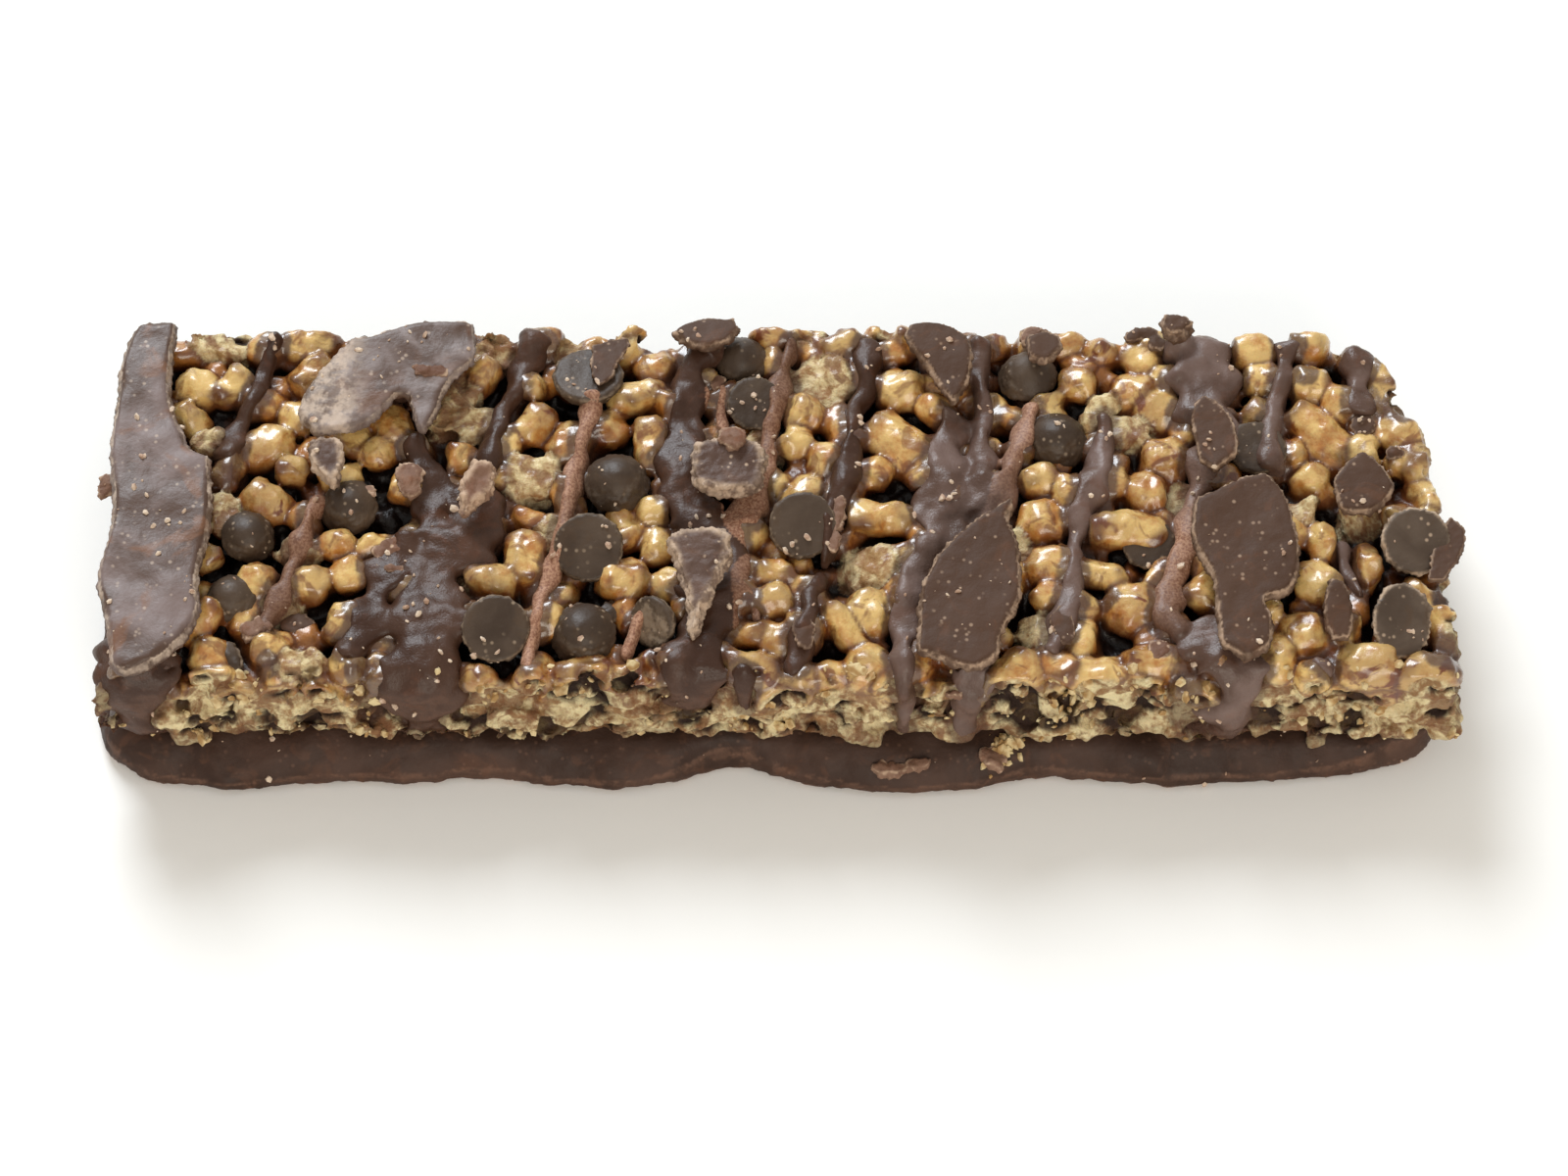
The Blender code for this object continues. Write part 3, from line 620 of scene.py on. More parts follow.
class Tree(Nodes):
    """A Geometry Nodes group that is built in the script and run once on a piece."""

    def __init__(self, name: str) -> None:
        """Makes a group with a geometry input.

        Args:
            name: the group's name.
        """
        self.group = bpy.data.node_groups.new(name, "GeometryNodeTree")
        super().__init__(self.group)
        self.group.interface.new_socket("Geometry", in_out="INPUT", socket_type="NodeSocketGeometry")
        self.group.interface.new_socket("Geometry", in_out="OUTPUT", socket_type="NodeSocketGeometry")
        self.entry = self.node("NodeGroupInput")
        self.mesh = self.entry.outputs["Geometry"]

    def input(self, name: str, kind: str) -> Value:
        """Adds a named input to the group, whose kind is the socket's type without its prefix."""
        self.group.interface.new_socket(name, in_out="INPUT", socket_type=f"NodeSocket{kind}")
        return Value(self, self.entry.outputs[name])

    def numbers(self, *names: str) -> list[Value]:
        """Adds a named input for each number that the tree takes."""
        return [self.input(name, "Float") for name in names]

    def stored(self, name: str, kind: str = "FLOAT") -> Value:
        """An attribute that the mesh holds."""
        return self.value("GeometryNodeInputNamedAttribute", 0, {"data_type": kind}, {"Name": name})

    def lumps(self, size: Value, seed: Any) -> Value:
        """Noise over the position, from -1 to 1.

        Args:
            size: the width of a lump, in metres.
            seed: which noise it is.

        Returns:
            The noise.
        """
        place = self.node("GeometryNodeInputPosition").outputs[0]
        sockets = {"Vector": place, "W": seed, "Scale": 1.0 / size, "Detail": 1.0}
        return (self.value("ShaderNodeTexNoise", 0, {"noise_dimensions": "4D"}, sockets) - 0.5) * 3.0

    def vector(self, operation: str, sockets: dict[Any, Any]) -> Socket:
        """Adds one Vector Math node and returns its vector."""
        return self.node("ShaderNodeVectorMath", {"operation": operation}, sockets).outputs[0]

    def along_normal(self, amount: Value) -> Socket:
        """A vector of some length along the surface's normal."""
        normal = self.node("GeometryNodeInputNormal").outputs[0]
        return self.vector("SCALE", {0: normal, "Scale": amount})

    def moved(self, geometry: Socket, offset: Socket) -> Socket:
        """The geometry with each point moved by an offset."""
        return self.node("GeometryNodeSetPosition", None, {0: geometry, "Offset": offset}).outputs[0]

    def noise(self, place: Socket, scale: Value, detail: float) -> bpy.types.Node:
        """Cloudy noise over a vector, as a node."""
        sockets = {"Vector": place, "Scale": scale, "Detail": detail}
        return self.node("ShaderNodeTexNoise", None, sockets)

    def random(self, low: Any, high: Any, seed: Value) -> Value:
        """A random number for each point, or a vector where low and high are vectors."""
        kind, output, first = ("FLOAT_VECTOR", 0, 0) if isinstance(low, tuple) else ("FLOAT", 1, 2)
        sockets = {first: low, first + 1: high, "Seed": seed}
        return self.value("FunctionNodeRandomValue", output, {"data_type": kind}, sockets)

    def finish(self, geometry: Socket, material: Value | None = None) -> None:
        """Ends the tree.

        Args:
            geometry: what the tree has made.
            material: the input that holds its material, unless a later tree sets it.
        """
        made = self.node("GeometryNodeRealizeInstances", None, {0: geometry}).outputs[0]
        if material is not None:
            sockets = {"Geometry": made, "Material": material}
            made = self.node("GeometryNodeSetMaterial", None, sockets).outputs[0]
        self.node("NodeGroupOutput", None, {0: made})

    def attach(self, piece: Piece, **values: Any) -> None:
        """Adds the group to a piece and sets its inputs.

        Args:
            piece: the object that gets the modifier.
            **values: what each input takes, with underscores for the spaces of its name.
        """
        modifier = piece.modifiers.new(self.group.name, "NODES")
        modifier.node_group = self.group
        for item in self.group.interface.items_tree:
            key = item.name.replace(" ", "_")
            if item.in_out == "INPUT" and key in values:
                modifier[item.identifier] = values[key]


def linked(name: str, data: bpy.types.ID) -> Piece:
    """Puts an object with the given data into the scene.

    Args:
        name: the object's name.
        data: its mesh, lamp or camera.

    Returns:
        The object.
    """
    made = bpy.data.objects.new(name, data)
    bpy.context.scene.collection.objects.link(made)
    return made


def new_piece(name: str, points: np.ndarray, faces: Iterable[Sequence[int]]) -> Piece:
    """A mesh object from points in millimetres.

    Args:
        name: the object's name.
        points: its points.
        faces: its faces, as numbers of points.

    Returns:
        The object, linked to the scene.
    """
    mesh = bpy.data.meshes.new(name)
    mesh.from_pydata((np.asarray(points, float) * MM).tolist(), [], [tuple(face) for face in faces])
    return linked(name, mesh)


def shape_of(pieces: Iterable[Piece]) -> Shape:
    """Gathers the meshes of pieces, to be edited.

    Args:
        pieces: the objects.

    Returns:
        One shape with all their faces.
    """
    shape = bmesh.new()
    for piece in pieces:
        shape.from_mesh(piece.data)
    return shape


def piece_of(shape: Shape, name: str) -> Piece:
    """Turns a shape into an object and frees the shape.

    Args:
        shape: the finished shape.
        name: the object's name.

    Returns:
        The object, linked to the scene.
    """
    mesh = bpy.data.meshes.new(name)
    shape.to_mesh(mesh)
    shape.free()
    return linked(name, mesh)


def even_out(piece: Piece, voxel: float) -> None:
    """Adds a modifier that melts what overlaps into one skin, with faces of a size in millimetres."""
    remesh = piece.modifiers.new("even_faces", "REMESH")
    remesh.mode, remesh.voxel_size = "VOXEL", voxel * MM


def soften(piece: Piece, share: float, rounds: int) -> None:
    """Adds a modifier that smooths a skin."""
    smooth = piece.modifiers.new("soften", "SMOOTH")
    smooth.factor, smooth.iterations = share, rounds


def settle(piece: Piece) -> None:
    """Turns a piece with modifiers into a plain mesh.

    Args:
        piece: the object.
    """
    bpy.context.view_layer.update()
    evaluated = piece.evaluated_get(bpy.context.evaluated_depsgraph_get())
    mesh = bpy.data.meshes.new_from_object(evaluated)
    piece.modifiers.clear()
    piece.data = mesh


def column(source: Any, key: str, count: int) -> np.ndarray:
    """Reads a count of numbers from a collection of the mesh."""
    values = np.empty(count)
    source.foreach_get(key, values)
    return values


def points_of(mesh: Mesh) -> np.ndarray:
    """A mesh's points in millimetres, one row a point."""
    return column(mesh.vertices, "co", len(mesh.vertices) * 3).reshape(-1, 3) / MM


def normals_of(mesh: Mesh) -> np.ndarray:
    """A mesh's normals at its points, one row a point."""
    return column(mesh.vertex_normals, "vector", len(mesh.vertices) * 3).reshape(-1, 3)


def set_points(mesh: Mesh, points: np.ndarray) -> None:
    """Moves a mesh's points to new places, in millimetres."""
    mesh.vertices.foreach_set("co", (points * MM).ravel())
    mesh.update()


def store(mesh: Mesh, name: str, values: np.ndarray) -> None:
    """Stores one number on each point, as a named attribute."""
    held = mesh.attributes.get(name) or mesh.attributes.new(name, "FLOAT", "POINT")
    held.data.foreach_set("value", np.asarray(values, np.float32))


def read(mesh: Mesh, name: str) -> np.ndarray:
    """Reads the number that each point holds under a name."""
    return column(mesh.attributes[name].data, "value", len(mesh.vertices))


def finder_of(rows: np.ndarray) -> KDTree:
    """Prepares the search for the row nearest to a point.

    Args:
        rows: the places, in millimetres.

    Returns:
        The finder.
    """
    tree = KDTree(len(rows))
    for index, row in enumerate(rows):
        tree.insert(row, index)
    tree.balance()
    return tree


ABOVE_ALL = 30.0


class Ground:
    """Pieces that rays are cast at, in millimetres."""

    def __init__(self, pieces: Iterable[Piece]) -> None:
        """Gathers the faces of the pieces.

        Args:
            pieces: the objects.
        """
        shape = shape_of(pieces)
        self.tree = BVHTree.FromBMesh(shape)
        shape.free()

    def reach(self, start: Sequence[float], direction: Sequence[float], far: float = 40.0) -> float:
        """How far a ray goes before it meets a piece, or infinity where it meets nothing within far."""
        hit = self.tree.ray_cast(Vector(start) * MM, Vector(direction), far * MM)
        return math.inf if hit[0] is None else hit[3] / MM

    def top(self, x: float, y: float) -> float:
        """The height of the topmost face at a place, or minus infinity."""
        return ABOVE_ALL - self.reach((x, y, ABOVE_ALL), (0, 0, -1))

    def underside(self, x: float, y: float) -> float:
        """The height of the lowest face at a place, or infinity."""
        return self.reach((x, y, 0.0), (0, 0, 1))


def smooth_step(values: np.ndarray, low: float, high: float) -> np.ndarray:
    """A smooth step of values, from 0 at low to 1 at high."""
    share = np.clip((values - low) / (high - low), 0, 1)
    return share * share * (3 - 2 * share)


def blurred(grid: np.ndarray, reach: float, axis: int) -> np.ndarray:
    """A grid blurred along one axis.

    Args:
        grid: the values.
        reach: the blur's standard deviation, in cells.
        axis: the axis.

    Returns:
        The blurred grid, of the same shape.
    """
    half = max(1, int(reach * 3))
    weights = np.exp(-0.5 * (np.arange(-half, half + 1) / reach) ** 2)
    weights /= weights.sum()
    spread = [(half, half) if index == axis else (0, 0) for index in range(grid.ndim)]
    padded = np.pad(grid, spread, mode="edge")
    return np.apply_along_axis(lambda line: np.convolve(line, weights, mode="valid"), axis, padded)


class KnifeCut:
    """The line of the cut sides, seen from above."""

    def __init__(self) -> None:
        """Works out the line's outward normals."""
        self.starts = np.array(KNIFE_LINE)
        along = np.roll(self.starts, -1, axis=0) - self.starts
        self.lengths = np.linalg.norm(along, axis=1)
        self.along = along / self.lengths[:, None]
        self.normals = np.stack([self.along[:, 1], -self.along[:, 0]], axis=1)

    def depth(self, points: np.ndarray) -> tuple[np.ndarray, np.ndarray]:
        """How far points lie inside the sides, of which the front one leans out towards its foot.

        Args:
            points: one row a point. Rows of two are taken at the top.

        Returns:
            The depths, negative outside, and the outward normal at each point.
        """
        away = points[:, None, :2] - self.starts[None]
        depths = -np.einsum("ijk,jk->ij", away, self.normals)
        nearest = depths.argmin(axis=1)
        normals = self.normals[nearest]
        lean = self.lean(points[:, 2], normals[:, 1]) if points.shape[1] > 2 else 0.0
        return depths.min(axis=1) + lean, normals

    @staticmethod
    def lean(heights: Any, across: Any) -> Any:
        """How far the front face stands out at heights, by the outward normals' parts across the bar."""
        share = np.clip((LEAN_TOP - heights) / (LEAN_TOP - SLAB_BOTTOM), 0, 1)
        return FRONT_LEAN * share * np.maximum(0, -across)


@dataclass(frozen=True)
class Grid:
    """Square cells over the bar, seen from above."""

    cell: float
    half_long: float
    half_wide: float

    def shape(self) -> tuple[int, int]:
        """How many cells there are along and across."""
        return int(2 * self.half_long / self.cell), int(2 * self.half_wide / self.cell)

    def cells(self, points: np.ndarray) -> tuple[np.ndarray, np.ndarray]:
        """Finds the cell that each point lies over.

        Args:
            points: one row a point.

        Returns:
            The cells' numbers along and across.
        """
        columns, rows = self.shape()
        i = np.clip(((points[:, 0] + self.half_long) / self.cell).astype(int), 0, columns - 1)
        j = np.clip(((points[:, 1] + self.half_wide) / self.cell).astype(int), 0, rows - 1)
        return i, j


@dataclass
class Place:
    """One crisp: its centre, half sizes, turn and looks."""

    x: float
    y: float
    z: float
    long: float
    wide: float
    tall: float
    turn: float
    pitch: float = 0.0
    kind: Kind = Kind.ROUND
    tone: float = 0.5
    ragged: float = 0.0
    stand: float = 0.0

    def reach(self) -> float:
        """Its mean reach seen from above."""
        return (self.long + self.wide) / 2

    def stay_under(self, plates: Ground, spare: float = 0.1) -> None:
        """Lowers the crisp where a flat piece lies on it, by rays at its middle and round it.

        Args:
            plates: the flat pieces.
            spare: the space that is left.
        """
        for share in (0.0, 0.6):
            height = self.tall * math.sqrt(1 - share * share)
            for side in range(4):
                angle = self.turn + side * math.pi / 2
                along = (self.long if side % 2 == 0 else self.wide) * share
                x, y = self.x + along * math.cos(angle), self.y + along * math.sin(angle)
                self.z = min(self.z, plates.underside(x, y) - spare - height)

    def away(self, points: np.ndarray) -> np.ndarray:
        """How far points lie from its middle, where 1 is on its skin.

        Args:
            points: one row a point.

        Returns:
            One share a point.
        """
        axes = np.array(Euler((0, self.pitch, self.turn)).to_matrix())
        local = (points - (self.x, self.y, self.z)) @ axes
        return np.linalg.norm(local / (self.long, self.wide, self.tall), axis=1)


# Crisps that the photograph shows on top: x, y, length, width and turn in degrees. A last number of 1 marks a
# broken one.
SEEN_CRISPS = (
    (-46.8, 16.5, 5.7, 3.2, -10, 1), (-48.6, 11.8, 3.6, 3.5, 0, 0), (-45.7, 12.0, 3.7, 2.4, 50, 0),
    (-39.4, 16.5, 4.9, 3.2, 10, 0), (-39.1, 13.3, 4.1, 2.8, 50, 0), (-42.6, 6.1, 4.7, 3.7, 35, 0),
    (-40.4, 3.6, 2.6, 2.3, 0, 0), (-42.4, 0.5, 4.1, 3.5, -30, 0), (-47.3, 6.3, 2.3, 2.0, 0, 1),
    (-33.3, 5.3, 2.6, 2.6, 0, 0), (-36.2, -3.6, 2.8, 2.3, 0, 0), (-35.1, -6.6, 3.1, 3.1, 90, 0),
    (-38.4, -7.4, 3.4, 3.3, 0, 0), (-42.7, -7.4, 3.2, 3.4, 0, 0), (-35.4, -11.5, 3.7, 2.6, 75, 0),
    (-46.1, -14.8, 3.9, 3.5, 90, 0), (-38.8, -15.3, 4.0, 3.0, 0, 1), (-25.2, 8.3, 3.4, 3.4, 0, 1),
    (-20.2, 8.3, 3.7, 2.8, 60, 0), (-20.7, 11.8, 2.4, 2.2, 0, 0), (-20.3, 3.2, 4.8, 4.3, 0, 1),
    (-20.7, -5.3, 5.0, 3.3, 90, 0), (-17.1, 6.3, 4.2, 3.4, 60, 0), (-14.2, 7.8, 3.5, 3.3, 0, 0),
    (-11.6, 10.8, 4.8, 2.6, 15, 0), (-10.4, 6.1, 5.2, 2.8, 90, 0), (-10.2, -0.5, 2.7, 2.6, 0, 0),
    (-0.1, 14.3, 2.8, 2.3, 90, 0), (-0.5, 17.0, 3.6, 2.2, 0, 0), (-12.6, -7.2, 4.1, 3.5, 0, 0),
    (0.5, -12.9, 3.3, 3.6, 0, 0), (-1.8, -15.7, 4.3, 3.0, 0, 0), (-15.6, -16.2, 4.7, 3.0, 15, 0),
    (-0.1, -9.3, 3.1, 2.8, 0, 0), (-0.1, -6.5, 3.1, 2.2, 0, 0), (5.7, 16.3, 3.7, 2.8, 20, 0),
    (3.9, 12.5, 5.5, 4.8, 20, 1), (2.4, 9.3, 3.1, 3.5, 0, 0), (4.5, 4.4, 3.1, 3.9, 0, 0),
    (8.1, 3.4, 3.2, 2.8, 0, 0), (10.5, 11.8, 3.9, 3.9, 0, 0), (10.4, 6.3, 6.8, 4.1, -42, 0),
    (8.9, -1.2, 6.0, 2.8, 0, 0), (7.9, -5.7, 5.0, 4.0, 0, 1), (7.8, -10.3, 4.3, 3.9, 90, 0),
    (5.7, -11.8, 5.1, 2.2, -55, 0), (7.6, -15.4, 3.8, 3.8, 0, 0), (2.4, -12.2, 3.2, 3.8, 0, 0),
    (24.8, 16.6, 3.0, 3.0, 0, 0), (27.4, 15.6, 2.6, 2.3, 0, 0), (25.4, 12.2, 2.9, 2.6, 0, 0),
    (30.1, 11.5, 3.6, 3.3, 0, 0), (22.0, 2.7, 3.2, 2.8, 0, 0), (24.9, 1.4, 3.4, 3.5, 0, 0),
    (27.9, 2.4, 2.9, 2.9, 0, 0), (22.1, -1.6, 3.8, 4.1, 0, 0), (23.1, -5.8, 4.8, 4.0, 0, 0),
    (29.2, -2.4, 6.5, 3.2, 0, 0), (29.5, 7.6, 4.2, 2.8, 0, 1), (29.5, -9.7, 4.6, 4.7, 0, 0),
    (22.0, -12.0, 4.2, 3.4, 0, 1), (24.9, -12.9, 3.0, 4.4, 0, 0), (19.5, -16.3, 5.2, 4.0, 40, 0),
    (26.5, -16.5, 5.0, 4.0, 0, 0), (32.1, 9.8, 4.3, 3.8, 0, 0), (32.7, 4.8, 3.9, 3.9, 0, 0),
    (31.0, 1.7, 3.5, 3.7, 0, 0), (40.5, 15.8, 3.7, 3.4, 0, 0), (41.3, 12.8, 3.5, 2.8, 0, 0),
    (45.2, 16.2, 3.4, 3.2, 0, 0), (45.0, 12.2, 3.1, 3.4, 0, 0), (47.5, 10.2, 2.7, 3.3, 0, 0),
    (45.9, 7.0, 7.1, 3.4, -48, 0), (43.2, 5.4, 2.4, 3.3, 0, 0), (51.0, 13.2, 4.2, 2.5, -75, 0),
    (52.5, 7.3, 4.7, 3.5, -20, 0), (53.0, 4.4, 3.7, 2.5, 0, 0), (43.9, -0.5, 2.5, 3.0, 0, 1),
    (45.3, -3.6, 2.2, 3.7, 0, 0), (48.9, -5.8, 2.0, 4.2, 0, 0), (44.7, -7.4, 3.7, 3.5, 0, 0),
    (43.5, -12.2, 3.7, 4.0, 0, 0), (48.6, -15.2, 5.2, 4.0, 0, 0), (43.9, -16.3, 2.6, 2.8, 0, 0),
    (40.9, -14.6, 3.0, 4.2, 0, 0), (53.4, -16.2, 4.7, 4.0, 0, 0), (31.1, -15.0, 5.8, 3.4, 15, 0),
)

# Chocolate rubbed onto the crisps: x, y and reach.
SMEARS = (
    (54.8, -14.6, 3.2), (55.4, -8.6, 2.2), (-46.6, 3.4, 3.4), (-44.8, 8.6, 2.6), (44.6, 12.6, 1.8),
    (52.6, 9.4, 2.6), (31.6, -14.4, 1.3), (-31.0, -2.6, 1.8), (27.4, -9.2, 1.6), (-55.6, -16.0, 4.2),
    (-41.4, -15.6, 1.6), (33.6, -16.8, 2.2), (-33.6, -16.6, 2.0),
)


@dataclass
class CrispHeap:
    """The puffed crisps: those on top, the smaller ones deeper down, and those that the knife has cut."""

    seed: int = 11
    long: Span = (1.5, 2.6)
    wide: Span = (1.3, 1.9)
    tries: int = 7000
    packing: float = 0.8
    chip_gap: float = 0.3
    knife_gap: float = 0.35
    under_size: Span = (1.1, 1.8)
    under_height: Span = (8.6, 11.3)
    under_tries: int = 5000
    under_gap: float = 0.72
    deep_gap: float = 0.85
    under_long: float = 1.25
    under_pitch: float = 0.1
    # Crisps deeper down take a darker range of tone, a painted shade.
    under_tone: Span = (0.0, 0.6)
    side_levels: tuple[float, ...] = (5.5, 7.5, 9.6, 11.3)
    side_spacing: float = 3.5
    side_long: Span = (1.7, 2.9)
    side_wide: Span = (1.3, 1.9)
    side_tall: Span = (0.95, 1.35)
    side_inset: Span = (0.2, 1.4)
    side_shift: Span = (0.0, 0.4)
    side_swing: Span = (-0.6, 0.5)
    side_rods: float = 0.5
    side_tone: Span = (0.2, 0.8)
    side_turn: float = 0.4
    side_pitch: float = 0.25
    side_stand: Span = (-0.6, 1.1)
    drop: Span = (0.0, 1.2)
    pitch: float = 0.3
    least_tall: float = 1.4
    seen_drop: Span = (0.0, 0.6)
    seen_pitch: float = 0.15
    seen_grow: float = 0.15
    seen_least_tall: float = 1.5
    seen_tone: Span = (0.3, 1.0)
    slim_from: float = 1.35
    broken_share: float = 0.1
    lump_size: float = 1.6
    lump_height: float = 0.52
    hang: float = 0.5
    pull: float = 0.82
    top_row_share: float = 0.4
    knife: KnifeCut = field(default_factory=KnifeCut)
    top: list[Place] = field(default_factory=list)
    under: list[Place] = field(default_factory=list)
    sides: list[Place] = field(default_factory=list)

    def settle_places(self, plates: Ground, chips: Sequence[tuple[float, float, float]]) -> None:
        """Chooses where every crisp lies.

        Args:
            plates: the flat pieces, which the crisps under them carry.
            chips: centre and radius of each chocolate chip, seen from above.
        """
        rng = np.random.default_rng(self.seed)
        for x, y, length, width, turn, broken in SEEN_CRISPS:
            self.top.append(self._seen(rng, x, y, length / 2, width / 2, math.radians(turn), broken))
        for _ in range(self.tries):
            x, y = self._spot(rng)
            long, wide = rng.uniform(*self.long), rng.uniform(*self.wide)
            turn, pitch, drop = rng.uniform(0, math.pi), rng.normal(0, self.pitch), rng.uniform(*self.drop)
            kind_draw, broken_draw, tone = rng.uniform(0, 1, 3)
            reach = (long + wide) / 2
            if self._inside(x, y) < self.knife_gap * wide:
                continue
            if any(math.hypot(x - cx, y - cy) < radius + self.chip_gap * reach for cx, cy, radius in chips):
                continue
            if any(math.hypot(x - p.x, y - p.y) < self.packing * (reach + p.reach()) for p in self.top):
                continue
            broken = broken_draw < self.broken_share
            kind = Kind.BROKEN if broken else list(Kind)[int(kind_draw * 5)]
            tall = max(wide, self.least_tall)
            self.top.append(Place(
                x, y, CRISP_TOP - tall - drop, long, wide, tall, turn, pitch, kind, tone, float(broken)))
        for place in self.top:
            place.stay_under(plates)
        self._fill_under(rng)
        self._cut_sides(rng)

    @staticmethod
    def _spot(rng: np.random.Generator) -> tuple[float, float]:
        """A random place on the bar, seen from above."""
        return rng.uniform(-HALF_LENGTH, HALF_LENGTH + 1), rng.uniform(-HALF_WIDTH, HALF_WIDTH)

    def _inside(self, x: float, y: float) -> float:
        """How far a place lies inside the knife's line at the top."""
        return self.knife.depth(np.array([[x, y]]))[0][0]

    def _seen(
        self, rng: np.random.Generator, x: float, y: float, long: float, wide: float, turn: float, broken: int
    ) -> Place:
        """One crisp that the photograph shows.

        Args:
            rng: the source of its small differences.
            x: place along the bar.
            y: place across the bar.
            long: half its length.
            wide: half its width.
            turn: its turn.
            broken: 1 if it is broken.

        Returns:
            The crisp.
        """
        slim = long > self.slim_from * wide
        kind = Kind.BROKEN if broken else Kind.STUB if slim else Kind.ROUND
        drop, pitch = rng.uniform(*self.seen_drop), rng.normal(0, self.seen_pitch)
        tone = rng.uniform(*self.seen_tone)
        tall = max(wide, self.seen_least_tall)
        long, wide = long + self.seen_grow, wide + self.seen_grow
        return Place(
            x, y, CRISP_TOP - tall - drop, long, wide, tall, turn, pitch, kind, tone, float(broken))

    def _fill_under(self, rng: np.random.Generator) -> None:
        """Fills the gaps with smaller crisps deeper down.

        Args:
            rng: the source of chance.
        """
        for _ in range(self.under_tries):
            x, y = self._spot(rng)
            size = rng.uniform(*self.under_size)
            turn, level = rng.uniform(0, math.pi), rng.uniform(*self.under_height)
            tone = rng.uniform(*self.under_tone)
            kind = list(Kind)[int(rng.uniform(0, 5))]
            if self._inside(x, y) < size:
                continue
            if any(math.hypot(x - p.x, y - p.y) < self.under_gap * (size + p.reach()) for p in self.top):
                continue
            if any(math.hypot(x - p.x, y - p.y) < self.deep_gap * (size + p.wide) for p in self.under):
                continue
            z, long = level - size / 2, size * self.under_long
            self.under.append(Place(x, y, z, long, size, size, turn, self.under_pitch, kind, tone))

    def _cut_sides(self, rng: np.random.Generator) -> None:
        """Sets rows of crisps along the cut sides.

        Args:
            rng: the source of chance.
        """
        for row, level in enumerate(self.side_levels):
            for start, along, normal, length in zip(
                self.knife.starts, self.knife.along, self.knife.normals, self.knife.lengths
            ):
                count = max(1, round(length / self.side_spacing))
                for step in range(count):
                    if level > CRISP_TOP - 2 and rng.uniform() > self.top_row_share:
                        continue
                    share = (step + 0.5 * (row % 2) + rng.uniform(*self.side_shift)) / (count + 0.3)
                    long, wide, tall = (
                        rng.uniform(*size) for size in (self.side_long, self.side_wide, self.side_tall))
                    inset = rng.uniform(*self.side_inset) - self.knife.lean(level, normal[1])
                    x, y = start + along * length * share - normal * inset
                    turn = math.atan2(along[1], along[0]) + rng.normal(0, self.side_turn)
                    kind = Kind.ROD if rng.uniform() < self.side_rods else Kind.LOBED
                    z, pitch = level + rng.uniform(*self.side_swing), rng.normal(0, self.side_pitch)
                    tone, stand = rng.uniform(*self.side_tone), rng.uniform(*self.side_stand)
                    self.sides.append(Place(x, y, z, long, wide, tall, turn, pitch, kind, tone, 0.0, stand))

    def everything(self) -> list[Place]:
        """Every crisp."""
        return self.top + self.under + self.sides

    def kinds(self, hidden: bpy.types.Collection) -> None:
        """Makes one crisp of each kind, a unit in half size.

        Args:
            hidden: the collection that they go into.
        """
        for kind in Kind:
            form = FORMS[kind]
            shape = bmesh.new()
            bmesh.ops.create_icosphere(shape, subdivisions=3, radius=1.0)
            for vertex in shape.verts:
                x, y, z = vertex.co
                girth = max(1 - abs(x) ** form.blunt, 0) ** (1 / form.blunt) / max(math.hypot(y, z), 0.01)
                girth *= 1 - form.waist * math.cos(x * math.pi / 2) ** 2
                y, z = y * girth, z * girth
                vertex.co = (x, y + form.bend * (x * x - 0.4), min(z, form.flat + 0.15 * x))
            mesh = bpy.data.meshes.new(f"kind_{kind.value}")
            shape.to_mesh(mesh)
            shape.free()
            hidden.objects.link(bpy.data.objects.new(mesh.name, mesh))

    def build(self) -> Piece:
        """Makes all the crisps, cut off at the knife's line.

        Returns:
            The crisps, each a closed ball of its own.
        """
        places = self.everything()
        hidden = bpy.data.collections.new("crisp_kinds")
        self.kinds(hidden)
        piece = new_piece("crisps", np.array([(p.x, p.y, p.z) for p in places]), [])
        turned = np.array([Euler((0, p.pitch, p.turn))[:] for p in places])
        sized = np.array([(p.long, p.wide, p.tall) for p in places]) * MM
        for key, rows in (("turned", turned), ("sized", sized)):
            held = piece.data.attributes.new(key, "FLOAT_VECTOR", "POINT")
            held.data.foreach_set("vector", rows.astype(np.float32).ravel())
        held = piece.data.attributes.new("kind", "INT", "POINT")
        held.data.foreach_set("value", np.array([p.kind.value for p in places], np.int32))
        store(piece.data, "stand", np.array([p.stand for p in places]))
        heap_tree().attach(
            piece, Kinds=hidden, Seed=float(self.seed), Lump_size=self.lump_size * MM,
            Lump_height=self.lump_height * MM)
        settle(piece)
        for kind in list(hidden.objects):
            bpy.data.objects.remove(kind)
        bpy.data.collections.remove(hidden)
        points = points_of(piece.data)
        depths, normals = self.knife.depth(points)
        past = np.minimum(depths - read(piece.data, "stand"), 0)
        points[:, :2] += normals * past[:, None] * self.pull
        beyond, _ = self.knife.depth(points[:, :2])
        floor = SLAB_BOTTOM - self.hang * np.clip(-beyond, 0, FRONT_LEAN)
        points[:, 2] = np.maximum(points[:, 2], floor)
        set_points(piece.data, points)
        return piece


